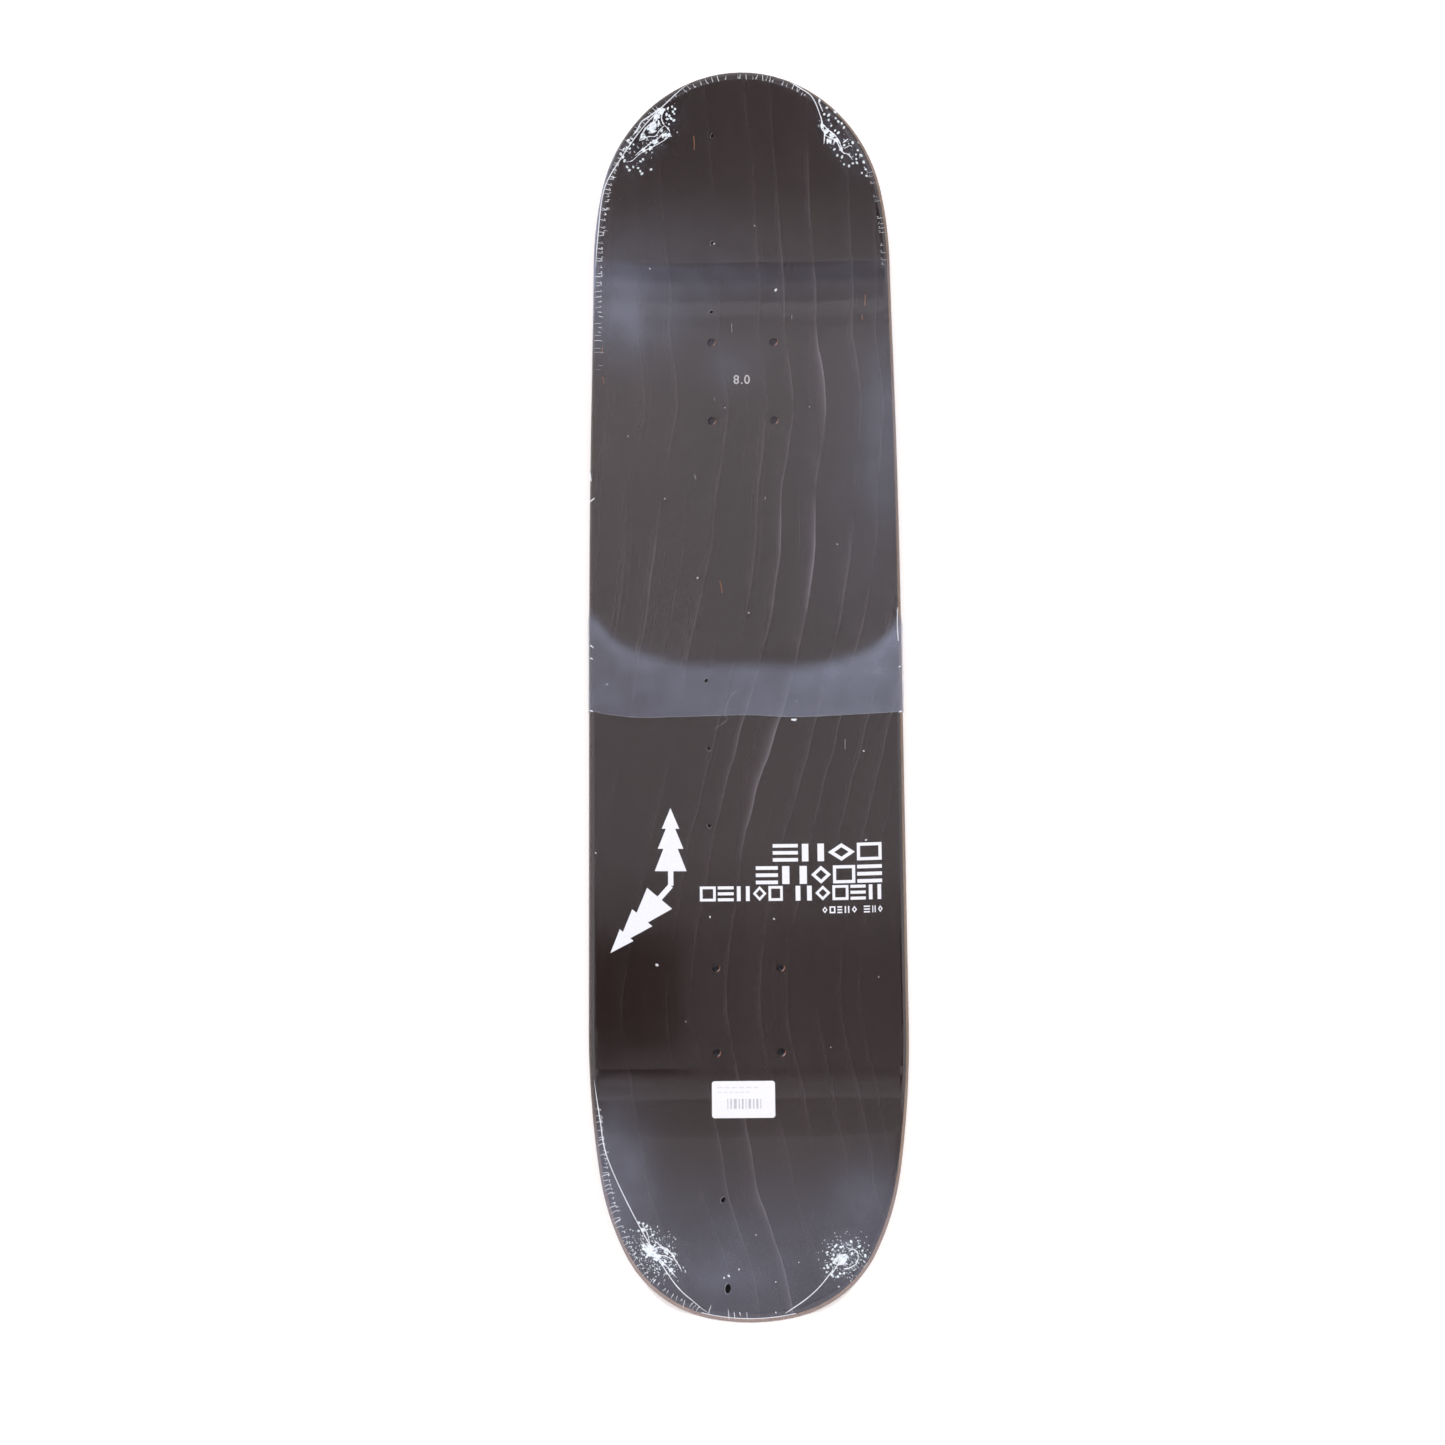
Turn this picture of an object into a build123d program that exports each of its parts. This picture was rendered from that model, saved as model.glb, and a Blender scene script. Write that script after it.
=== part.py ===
from build123d import *
import math
import os

# A bare skateboard deck sealed in clear shrink film, lying riding side up.
# Millimetres.  +X is the right-hand rail looking from tail to nose, +Y points to the nose, +Z is up.
# The origin is on the surface that the wrapped deck lies on, halfway between the two truck patterns.

# Overall deck
deck_width = 203.2
wheelbase = 361.95
truck_length = 53.975
truck_width = 41.275
nose_length = 173.0
tail_length = 166.7
bolt_hole_radius = 2.75

# Seven plies pressed into one shape
ply_names = ("1_face", "2_core", "3_crossband", "4_core", "5_crossband", "6_core", "7_base")
ply_thickness = 1.58
deck_thickness = len(ply_names) * ply_thickness
edge_round = 4.6

# Pressed shape of the riding face: a flat strip down the middle, raised rails and two kicks
flat_half = 28.0
concave_rise = 9.5
kick_angle = 18.0
kick_radius = 140.0
kick_setback = 10.0

# Plan outline of each end as arcs from the tip outwards: radius and turning angle
nose_arcs = ((92.0, 45.0), (102.0, 32.0), (236.0, 11.5))
tail_arcs = ((130.0, 11.5), (75.0, 51.5), (168.0, 17.0))

# Shrink film: two sheets sealed round the rim, and a loose lap across the riding side
film = 0.4
lap_edge_y = -17.5
lap_curve = ((-94.0, 44.0), (-66.0, 24.5), (0.0, 16.5), (66.0, 21.0), (94.0, 40.0))
vent_radius = 1.0
vent_x = -21.0
vent_pitch = 50.0
vent_first_y = -382.0
vent_count = 16
skipped_vents = (1, 3, 4, 12)

# Gathers of the film at the four corners: centre of the fan, direction outwards, number of pleats
gathers = ((-46.0, 344.0, 128.0, 6), (50.0, 346.0, 52.0, 5), (-46.0, -340.0, 228.0, 5), (48.0, -344.0, 312.0, 4))
pleat_spread = 11.0
pleat_start = 12.0
pleat_length = 26.0
pleat_width = 1.6
pleat_height = 0.7

# White ink on the riding face
ink = 0.28
tree_top = (-49.2, -77.6)
tree_edge = ((0, 0), (5.6, -13.5), (3.0, -13.5), (8.2, -26.5), (4.6, -26.5), (10.2, -41.0), (1.7, -41.0), (1.7, -50.4))
shadow_reach = (-38.5, -43.5)
shadow_width = (0.78, -0.66)
row_right = 86.8
rows = (
    # top y, height, stroke, glyph widths from right to left
    (-101.5, 11.4, 2.0, (17.0, 18.5, 18.0, 17.5)),
    (-115.8, 11.6, 2.0, (17.0, 15.5, 14.0, 20.0, 15.5)),
    (-128.6, 9.6, 1.7, (10.5, 11.0, 11.5, 11.0, 13.5, -6.0, 10.5, 10.0, 11.0, 11.5, 11.5)),
    (-142.2, 4.4, 0.9, (4.2, 3.8, 5.2, -3.0, 4.6, 4.8, 4.4, 5.0, 4.6)),
)
glyph_gap = 1.3
size_mark_centre = (-0.4, 209.3)
size_mark_height = 6.2

# Price label
paper = 0.2
label_ink = 0.1
label_centre = (-3.7, -264.5)
label_size = (40.0, 23.4)
label_corner = 1.8
bar_height = 6.2

# Derived positions
outer_bolt = wheelbase / 2 + truck_length
nose_tip = outer_bolt + nose_length
tail_tip = outer_bolt + tail_length
bend_start = outer_bolt + kick_setback
half_width = deck_width / 2
rail_span = half_width - flat_half
concave_radius = (rail_span**2 + concave_rise**2) / (2 * concave_rise)
top_z = film + deck_thickness
clear = 5.0


def sine(angle):
    return math.sin(math.radians(angle))


def cosine(angle):
    return math.cos(math.radians(angle))


def cross_section(depth_top, depth_bottom):
    """Slice across the pressed shape between two depths below the riding face."""
    swing = 21.0
    edges = []
    ends = []
    for depth in (depth_top, depth_bottom):
        radius = concave_radius + depth
        z = top_z - depth
        right = CenterArc((flat_half, top_z + concave_radius), radius, -90, swing)
        left = CenterArc((-flat_half, top_z + concave_radius), radius, -90, -swing)
        edges += [Line((-flat_half, z), (flat_half, z)), right, left]
        ends.append((left @ 1, right @ 1))
    edges += [Line(ends[0][side], ends[1][side]) for side in (0, 1)]
    return make_face(edges)


def band(depth_top, depth_bottom):
    """Pressed sheet between two depths, running on past the outline on every side."""
    section = cross_section(depth_top, depth_bottom)
    middle = extrude(Plane.XZ * section, bend_start, both=True)
    start = Plane.XZ.offset(-bend_start) * section
    hinge = Axis((0, bend_start, top_z + kick_radius), (1, 0, 0))
    bend = revolve(start, hinge, kick_angle)
    ramp = extrude(start.rotate(hinge, kick_angle), nose_length + 40, dir=(0, cosine(kick_angle), sine(kick_angle)))
    kick = bend + ramp
    return middle + kick + mirror(kick, Plane.XZ)


def end_edges(tip, arcs, grow):
    """Tangent arcs from the middle of one end to the straight part of the rail."""
    turned = 0.0
    reach = 0.0
    for radius, turn in arcs:
        reach += radius * (sine(turned + turn) - sine(turned))
        turned += turn
    closing = ((half_width - reach) / (1 - sine(turned)), 90 - turned)
    centre = Vector(0, tip - arcs[0][0])
    edges = []
    turned = 0.0
    previous = arcs[0][0]
    for radius, turn in (*arcs, closing):
        centre += Vector(sine(turned), cosine(turned)) * (previous - radius)
        edges.append(CenterArc(centre, radius + grow, 90 - turned, -turn))
        turned += turn
        previous = radius
    return edges


def plan(grow=0.0):
    """Outline seen from above, grown outwards by a distance."""
    nose = end_edges(nose_tip, nose_arcs, grow)
    tail = [mirror(edge, Plane.XZ) for edge in end_edges(tail_tip, tail_arcs, grow)]
    half = [*nose, *tail, Line(nose[-1] @ 1, tail[-1] @ 1)]
    return make_face([*half, *[mirror(edge, Plane.YZ) for edge in half]])


def column(sketch):
    """Vertical prism through the whole height of the deck."""
    return extrude(Plane.XY.offset(-clear) * sketch, 120)


def rim_edges(slab):
    """Edges where the upright rim meets the riding face and the underside."""
    upright = [face for face in slab.faces() if abs(face.normal_at(face.center()).Z) < 0.05]
    flat = [face for face in slab.faces() if abs(face.normal_at(face.center()).Z) >= 0.05]
    flat_middles = [edge @ 0.5 for face in flat for edge in face.edges()]
    found = []
    for face in upright:
        for edge in face.edges():
            middle = edge @ 0.5
            if any((middle - other).length < 1e-3 for other in flat_middles):
                found.append(edge)
    return found


def rounded_slab(grow=0.0):
    """Whole deck as one pressed slab with rounded edges, grown by a distance on every face."""
    slab = (band(-grow, deck_thickness + grow) & column(plan(grow))).solid()
    return fillet(rim_edges(slab), edge_round + grow)


def polygon(points):
    return make_face(Polyline(*points, close=True))


def motif():
    """A fir tree in outline, and the shadow it casts towards the tail-left rail."""
    right = [(half, down) for half, down in tree_edge]
    left = [(-half, down) for half, down in reversed(tree_edge[1:])]
    top_x, top_y = tree_top
    foot = tree_edge[-1][1]
    tree = polygon([(top_x + x, top_y + y) for x, y in right + left])
    shadow = []
    for x, y in right + left:
        rise = (y - foot) / -foot
        shadow.append((
            top_x + shadow_reach[0] * rise + shadow_width[0] * x,
            top_y + foot + shadow_reach[1] * rise + shadow_width[1] * x,
        ))
    return tree + polygon(shadow)


def glyph(kind, width, height, stroke):
    """One plain geometric mark that fills a width and a height."""
    if kind == 0:
        return Rectangle(width, height) - Rectangle(width - 2 * stroke, height - 2 * stroke)
    if kind == 1:
        outer = polygon(((-width / 2, 0), (0, -height / 2), (width / 2, 0), (0, height / 2)))
        shrink = 1 - 2.6 * stroke / height
        return outer - outer.scale(shrink)
    if kind == 2:
        bar = Rectangle(width / 4, height)
        return Pos(-width * 0.3, 0) * bar + Pos(width * 0.3, 0) * bar
    bars = [Pos(0, step * (height - height / 5) / 2) * Rectangle(width, height / 5) for step in (-1, 0, 1)]
    return bars[0] + bars[1] + bars[2]


def glyph_rows():
    """Right-aligned rows of plain marks."""
    marks = []
    for index, (top, height, stroke, widths) in enumerate(rows):
        right = row_right
        for place, width in enumerate(widths):
            if width > 0:
                shape = glyph((place + 3 * index) % 4, width - glyph_gap, height, stroke)
                marks.append(Pos(right - width / 2, top - height / 2) * shape)
            right -= abs(width)
    return marks


def size_mark():
    """The width of the deck in inches, as two digits and a point."""
    tall = size_mark_height
    line = 0.95
    loop = tall / 4 + line / 4
    ring = Circle(loop) - Circle(loop - line)
    eight = Pos(-3.9, tall / 2 - loop) * ring + Pos(-3.9, loop - tall / 2) * ring
    zero = Ellipse(1.9, tall / 2) - Ellipse(1.9 - line, tall / 2 - line)
    point = Pos(-0.3, 0.55 - tall / 2) * Circle(0.55)
    return Pos(*size_mark_centre) * (eight + point + Pos(3.2, 0) * zero)


def label_marks():
    """Plain upright bars under two rows of small dashes."""
    marks = []
    x = -10.2
    for width in (0.5, 0.9, 1.7, 0.6, 1.1, 0.5, 1.5, 0.7, 1.2, 0.5):
        marks.append(Pos(x + width / 2, -2.7) * Rectangle(width, bar_height))
        x += width + 1.35
    for y, length in ((7.6, 3.4), (4.6, 2.4)):
        marks += [Pos(-15.0 + step * (length + 1.2), y) * Rectangle(length, 0.8) for step in range(6)]
    return [Pos(*label_centre) * mark for mark in marks]


def lap_plan():
    """Plan of the loose film lap: a straight free edge and a bowed line where it starts to cling."""
    first, last = lap_curve[0], lap_curve[-1]
    return make_face([
        Spline(*lap_curve),
        Line(last, (last[0], lap_edge_y)),
        Line((last[0], lap_edge_y), (first[0], lap_edge_y)),
        Line((first[0], lap_edge_y), first),
    ])


def pleat_plans():
    """Thin kites fanned out at each corner where the film gathers."""
    kites = []
    for x, y, direction, count in gathers:
        for step in range(count):
            angle = direction + (step - (count - 1) / 2) * pleat_spread
            length = pleat_length * (1.0 if step % 2 else 0.72)
            kite = polygon((
                (pleat_start, 0),
                (pleat_start + 0.6 * length, pleat_width / 2),
                (pleat_start + length, 0),
                (pleat_start + 0.6 * length, -pleat_width / 2),
            ))
            kites.append(Pos(x, y) * Rot(0, 0, angle) * kite)
    return kites


def bolt_holes():
    """Eight bolt holes, four under each truck."""
    holes = []
    for y in (outer_bolt, wheelbase / 2):
        for side_x in (-1, 1):
            for side_y in (-1, 1):
                holes.append(column(Pos(side_x * truck_width / 2, side_y * y) * Circle(bolt_hole_radius)))
    return holes


def vents():
    """Small perforations along the film."""
    steps = [step for step in range(vent_count) if step not in skipped_vents]
    return [Pos(vent_x, vent_first_y + vent_pitch * step, top_z + 30) * Cylinder(vent_radius, 100) for step in steps]


deck = rounded_slab() - bolt_holes()
wrap = rounded_slab(film) - rounded_slab() - bolt_holes()

# Every node of the assembly, by name
nodes = {}
for number, name in enumerate(ply_names):
    above = -clear if number == 0 else number * ply_thickness
    below = deck_thickness + clear if number == len(ply_names) - 1 else (number + 1) * ply_thickness
    nodes["deck_ply_" + name] = deck & band(above, below)

ink_layer = band(-ink, 0)
nodes["ink_motif"] = ink_layer & column(motif())
nodes["ink_rows"] = [ink_layer & column(mark) for mark in glyph_rows()]
nodes["ink_size_mark"] = ink_layer & column(size_mark())
label_plan = Pos(*label_centre) * RectangleRounded(*label_size, label_corner)
nodes["label_paper"] = band(-paper, 0) & column(label_plan)
label_layer = band(-paper - label_ink, -paper)
nodes["label_bars"] = [label_layer & column(mark) for mark in label_marks()]

printed = [solid for name in ("ink_motif", "ink_size_mark", "label_paper") for solid in nodes[name].solids()]
for name in ("ink_rows", "label_bars"):
    printed += [solid for mark in nodes[name] for solid in mark.solids()]
pleat_layer = band(-film - pleat_height, -film)
face_plan = column(plan(-edge_round - 2.0))
pleats = [pleat_layer & column(kite) & face_plan for kite in pleat_plans()]
riding_side = (wrap & band(-clear, deck_thickness / 2)) + pleats
nodes["film_riding_side"] = riding_side - vents() - printed
nodes["film_underside"] = wrap & band(deck_thickness / 2, deck_thickness + clear)
nodes["film_lap"] = (band(-2 * film, -film) & column(lap_plan())) - vents()

os.makedirs("parts", exist_ok=True)
for name, shape in nodes.items():
    solids = [solid for piece in (shape if isinstance(shape, list) else [shape]) for solid in piece.solids()]
    export_step(Compound(children=solids), "parts/" + name + ".step")
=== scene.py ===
import math

import bmesh
import bpy
import numpy as np
from mathutils import Matrix, Vector


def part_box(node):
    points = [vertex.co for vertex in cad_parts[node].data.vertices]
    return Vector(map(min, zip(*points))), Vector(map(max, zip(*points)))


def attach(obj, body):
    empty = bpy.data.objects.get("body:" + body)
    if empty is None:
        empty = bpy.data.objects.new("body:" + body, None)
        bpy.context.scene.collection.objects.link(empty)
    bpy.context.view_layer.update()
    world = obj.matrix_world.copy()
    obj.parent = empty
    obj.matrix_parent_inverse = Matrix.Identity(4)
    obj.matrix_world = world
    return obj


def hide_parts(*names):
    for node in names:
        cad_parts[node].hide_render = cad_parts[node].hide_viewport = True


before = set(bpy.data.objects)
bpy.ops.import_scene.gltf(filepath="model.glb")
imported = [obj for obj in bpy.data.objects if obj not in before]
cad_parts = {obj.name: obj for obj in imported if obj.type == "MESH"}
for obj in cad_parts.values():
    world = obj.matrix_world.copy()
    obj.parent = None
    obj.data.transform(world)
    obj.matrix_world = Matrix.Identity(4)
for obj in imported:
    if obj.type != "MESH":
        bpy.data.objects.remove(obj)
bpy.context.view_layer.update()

# ---- Deck dimensions in metres, as in the CAD part ----
MM = 0.001
HALF_WIDTH = 101.6 * MM
NOSE_TIP = 407.95 * MM
TAIL_TIP = 401.65 * MM
# Arcs of each end from its tip on: radius in millimetres and turn in degrees; a last one meets the rail
NOSE_ARCS = ((92.0, 45.0), (102.0, 32.0), (236.0, 11.5))
TAIL_ARCS = ((130.0, 11.5), (75.0, 51.5), (168.0, 17.0))
FLAT = 28.0 * MM
CONCAVE_RISE = 9.5 * MM
CONCAVE_R = ((HALF_WIDTH - FLAT) ** 2 + CONCAVE_RISE ** 2) / (2 * CONCAVE_RISE)
BEND = 244.95 * MM
KICK_R = 140.0 * MM
KICK = math.radians(18.0)
THICK = 7 * 1.58 * MM
ROUND = 4.6 * MM
TOP_Z = 0.4 * MM + THICK
# Middles of the bolt holes, in plan millimetres
BOLTS = [(x, y) for x in (-20.64, 20.64) for y in (-234.95, -180.98, 180.98, 234.95)]
# How far the shown film lies off the wood, and how thick its skin is
LIFT = 0.34 * MM
FILM_GAP = 0.1 * MM


# ---- The pressed surface ----
def height(x, y, depth=0.0):
    """Height of the pressed shape at plan points, at a depth below the riding face."""
    side = np.maximum(np.abs(x) - FLAT, 0.0)
    rise = CONCAVE_R - np.sqrt((CONCAVE_R + depth) ** 2 - side ** 2)
    run = np.abs(y) - BEND
    radius = KICK_R - rise
    bent = KICK_R - np.sqrt(np.maximum(radius ** 2 - np.clip(run, 0, None) ** 2, 1e-9))
    kick = KICK_R - radius * math.cos(KICK) + (run - radius * math.sin(KICK)) * math.tan(KICK)
    z = np.where(run <= 0, rise, np.where(run < radius * math.sin(KICK), bent, kick))
    return TOP_Z + z


def slope(x, y, depth=0.0):
    """How steeply the pressed shape rises along X and along Y."""
    step = 0.05 * MM
    gx = (height(x + step, y, depth) - height(x - step, y, depth)) / (2 * step)
    gy = (height(x, y + step, depth) - height(x, y - step, depth)) / (2 * step)
    return gx, gy


def normal(x, y, depth=0.0):
    """Upward directions off the pressed shape."""
    gx, gy = slope(x, y, depth)
    n = np.stack([-gx, -gy, np.ones_like(gx)], -1)
    return n / np.linalg.norm(n, axis=-1, keepdims=True)


def on_face(x, y, lift=0.0):
    """Points on the riding face, lifted along its normal."""
    return np.stack([x, y, height(x, y)], -1) + normal(x, y) * np.asarray(lift)[..., None]


def end_points(tip, arcs):
    """Points and outward directions round a quarter of one end, from the tip to the straight rail."""
    turned, reach = 0.0, 0.0
    for radius, turn in arcs:
        reach += radius * MM * (math.sin(math.radians(turned + turn)) - math.sin(math.radians(turned)))
        turned += turn
    closing = (HALF_WIDTH - reach) / (1 - math.sin(math.radians(turned))) / MM
    arcs = (*arcs, (closing, 90 - turned))
    x, y, turned = 0.0, tip, 0.0
    points, outs = [], []
    for radius, turn in arcs:
        a = np.radians(np.linspace(turned, turned + turn, 300))
        px = x + radius * MM * (np.sin(a) - np.sin(a[0]))
        py = y - radius * MM * (np.cos(a[0]) - np.cos(a))
        points.append(np.stack([px, py], -1)[:-1])
        outs.append(np.stack([np.sin(a), np.cos(a)], -1)[:-1])
        x, y = px[-1], py[-1]
        turned += turn
    return np.vstack(points), np.vstack(outs)


def outline(count):
    """Even points round the rim from the nose tip, ways out, shares of a half, and a half's length."""
    nose, nose_out = end_points(NOSE_TIP, NOSE_ARCS)
    tail, tail_out = end_points(TAIL_TIP, TAIL_ARCS)
    half = np.vstack([nose, (tail * [1, -1])[::-1]])
    out = np.vstack([nose_out, (tail_out * [1, -1])[::-1]])
    gaps = np.linalg.norm(np.diff(half, axis=0), axis=1)
    run = np.concatenate([[0], np.cumsum(gaps)])
    at = np.linspace(0, run[-1], count // 2 + 1)
    points = np.stack([np.interp(at, run, half[:, k]) for k in (0, 1)], -1)
    outs = np.stack([np.interp(at, run, out[:, k]) for k in (0, 1)], -1)
    outs /= np.linalg.norm(outs, axis=1, keepdims=True)
    share = at / run[-1]
    mirror = slice(-2, 0, -1)
    points = np.vstack([points, points[mirror] * [-1, 1]])
    outs = np.vstack([outs, outs[mirror] * [-1, 1]])
    return points, outs, np.concatenate([share, share[mirror]]), run[-1]


# ---- Small helpers ----
def lattice_noise(u, v, seed):
    """Smooth noise from 0 to 1 on a unit lattice."""
    table = np.random.RandomState(seed).rand(64, 64)

    def at(a, b):
        return table[a % 64, b % 64]

    iu, iv = np.floor(u).astype(int), np.floor(v).astype(int)
    fu, fv = u - iu, v - iv
    fu, fv = fu * fu * (3 - 2 * fu), fv * fv * (3 - 2 * fv)
    low = at(iu, iv) * (1 - fu) + at(iu + 1, iv) * fu
    high = at(iu, iv + 1) * (1 - fu) + at(iu + 1, iv + 1) * fu
    return low * (1 - fv) + high * fv


def ease(low, high, value):
    """Smoothly 0 at low to 1 at high, whichever of the two is greater."""
    t = np.clip((value - low) / (high - low), 0, 1)
    return t * t * (3 - 2 * t)


def grid_faces(rows, columns, start=0, flip=False, ring=True, loop=False):
    """Quads between rows of points; ring closes each row, loop joins the last row to the first."""
    faces = []
    for j in range(rows if loop else rows - 1):
        near, far = start + j * columns, start + (j + 1) % rows * columns
        for i in range(columns if ring else columns - 1):
            m = (i + 1) % columns
            quad = [near + i, near + m, far + m, far + i]
            faces.append(quad[::-1] if flip else quad)
    return faces


def add_object(name, data):
    thing = bpy.data.objects.new(name, data)
    bpy.context.scene.collection.objects.link(thing)
    return thing


def add_mesh(name, vertices, faces, material, haze_and_painted_light, gloss):
    """One visible piece that rides with the deck."""
    data = bpy.data.meshes.new(name)
    data.from_pydata([tuple(v) for v in vertices], [], [tuple(f) for f in faces])
    data.validate()
    data.polygons.foreach_set("use_smooth", [True] * len(data.polygons))
    for label, values in (("haze_and_painted_light", haze_and_painted_light), ("gloss", gloss)):
        layer = data.attributes.new(label, "FLOAT", "POINT")
        layer.data.foreach_set("value", np.asarray(values, np.float32))
    data.materials.append(material)
    piece = add_object(name, data)
    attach(piece, "root")
    return piece


def add_skin(name, outer, inner, faces, haze_and_painted_light, gloss, material):
    """A thin piece of film between an outer and an inner grid of points."""
    vertices = np.vstack([outer.reshape(-1, 3), inner.reshape(-1, 3)])
    haze_and_painted_light, gloss = np.tile(haze_and_painted_light.ravel(), 2), np.tile(gloss.ravel(), 2)
    return add_mesh(name, vertices, faces, material, haze_and_painted_light, gloss)


# ---- Shader nodes ----
def feed(tree, target, key, value):
    """Link a socket, or set a plain value, into one input of a node."""
    if isinstance(value, bpy.types.NodeSocket):
        tree.links.new(value, target.inputs[key])
    else:
        target.inputs[key].default_value = value


def node(tree, kind, inputs=None, **settings):
    """A node with its settings, and its inputs by name or number."""
    n = tree.nodes.new("ShaderNode" + kind)
    for key, value in settings.items():
        setattr(n, key, value)
    for key, value in (inputs or {}).items():
        feed(tree, n, key, value)
    return n


def math_node(tree, operation, *values):
    """Result of one step of arithmetic on numbers and sockets."""
    return node(tree, "Math", dict(enumerate(values)), operation=operation).outputs[0]


def times(tree, *factors, clamp=False):
    """Product of sockets and numbers; clamp keeps it between 0 and 1."""
    product = factors[0]
    for factor in factors[1:]:
        product = math_node(tree, "MULTIPLY", product, factor)
    product.node.use_clamp = clamp
    return product


def ramp(tree, value, stops, interpolation="LINEAR"):
    """Colours by value; each stop is a place and a colour, or one number for a grey."""
    n = node(tree, "ValToRGB", {0: value})
    n.color_ramp.interpolation = interpolation
    elements = n.color_ramp.elements
    while len(elements) < len(stops):
        elements.new(0.5)
    for element, (place, colour) in zip(elements, stops):
        element.position = place
        element.color = (*np.broadcast_to(colour, 3), 1.0)
    return n.outputs[0]


def mix(tree, share, a, b, mode="MIX"):
    """A share of colour b over colour a."""
    n = node(tree, "Mix", data_type="RGBA", blend_type=mode)
    feed(tree, n, 0, share)
    for key, colour in ((6, a), (7, b)):
        feed(tree, n, key, colour if isinstance(colour, bpy.types.NodeSocket) else (*colour, 1.0))
    return n.outputs[2]


def coordinate(tree, axis, kind="Object"):
    """One coordinate: of the object in metres, or of the direction in the sky."""
    where = node(tree, "TexCoord").outputs[kind]
    return node(tree, "SeparateXYZ", {"Vector": where}).outputs[axis]


def noise(tree, stretch, detail=2.0, distortion=0.0):
    """Noise over the object; stretch is how many blobs a metre holds, each way or in all directions."""
    where = node(tree, "TexCoord").outputs["Object"]
    scaled = node(tree, "Mapping", {"Vector": where, "Scale": tuple(np.broadcast_to(stretch, 3))})
    inputs = {"Vector": scaled.outputs[0], "Scale": 1.0, "Detail": detail, "Distortion": distortion}
    return node(tree, "TexNoise", inputs).outputs["Fac"]


def overlay(tree, share, colour, pattern, stops):
    """Lighten and darken a colour by a pattern."""
    return mix(tree, share, colour, ramp(tree, pattern, stops), "OVERLAY")


def bump(tree, pattern, strength, distance):
    """Normals that follow a pattern."""
    return node(tree, "Bump", {"Height": pattern, "Strength": strength, "Distance": distance}).outputs[0]


def new_material(name):
    """An empty material and its node tree."""
    material = bpy.data.materials.new(name)
    material.use_nodes = True
    material.node_tree.nodes.clear()
    return material, material.node_tree


def show(tree, shader, target="Material"):
    """Join a shader to the output of its material or world."""
    tree.links.new(shader.outputs[0], node(tree, "Output" + target).inputs[0])


# ---- Wood, ink and paper ----
# Length, in metres, that ramps along the deck cover
ALONG = 0.8
# Width, in metres, that the growth lines cover
GROWTH_SPAN = 0.3
# How much the growth lines wander and how much they shake, as shares of that width
WANDER = 0.08
SHAKE = 0.014
# Least drift of the growth lines and the span of all drifts, in millimetres
DRIFT_LOW = -20.0
DRIFT_SPAN = 80.0
# How far the growth lines drift across the deck, in millimetres, at places along it
DRIFT = (
    (-400, 25), (-361, 18), (-328, 6.5), (-289, -0.2), (-250, -6.8), (-217, -12.6), (-183, -11.8),
    (-144, -5.2), (-89, 4.8), (-50, 14.8), (-17, 23), (33, 33), (83, 42.3), (139, 47.3), (178, 53.9),
    (205, 54.7), (239, 50.6), (272, 51.4), (300, 48.9), (350, 46.4), (400, 44),
)
# Where the growth lines lie across the deck before they drift, in millimetres, and how strongly each shows
GROWTH = (
    (-149, 0), (-140, 0.05), (-117, 0.08), (-99, 0.16), (-67, 0.13), (-38, 0.15), (-22, 0.4), (0, 0.8),
    (24, 0.22), (40, 0.2), (58, 0.15), (73, 0.2), (85, 0.1), (104, 0.05), (130, 0),
)
GROWTH_STEPS = len(GROWTH) - 1
# How clearly the growth lines show at places along the deck, in millimetres
GROWTH_CLEAR = (
    (-390, 0.6), (-330, 0.6), (-250, 0.4), (-110, 0.45), (-10, 0.8),
    (60, 1), (200, 1), (270, 0.6), (340, 0.3),
)


def ramp_along(tree, stops, interpolation="LINEAR"):
    """Values along the deck, through stops at places in millimetres from the middle."""
    along = math_node(tree, "MULTIPLY_ADD", coordinate(tree, "Y"), 1 / ALONG, 0.5)
    return ramp(tree, along, [(y * MM / ALONG + 0.5, value) for y, value in stops], interpolation)


def growth_field(tree):
    """Rises from 0 to 1 across the deck, one step for each growth line, and wanders along it."""
    drift = ramp_along(tree, [(y, (x - DRIFT_LOW) / DRIFT_SPAN) for y, x in DRIFT], "CARDINAL")
    wander = times(tree, noise(tree, (11.0, 3.4, 1.0), 1.0), WANDER)
    shake = times(tree, noise(tree, (30.0, 16.0, 1.0), 3.0), SHAKE)
    moved = math_node(tree, "ADD", wander, shake)
    across = math_node(tree, "MULTIPLY_ADD", coordinate(tree, "X"), 1 / GROWTH_SPAN, moved)
    across = math_node(tree, "SUBTRACT", across, times(tree, drift, DRIFT_SPAN * MM / GROWTH_SPAN))
    middle = 0.5 - DRIFT_LOW * MM / GROWTH_SPAN - (WANDER + SHAKE) / 2
    across = math_node(tree, "ADD", across, middle)
    stops = [(x * MM / GROWTH_SPAN + 0.5, k / GROWTH_STEPS) for k, (x, _) in enumerate(GROWTH)]
    return ramp(tree, across, stops)


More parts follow.
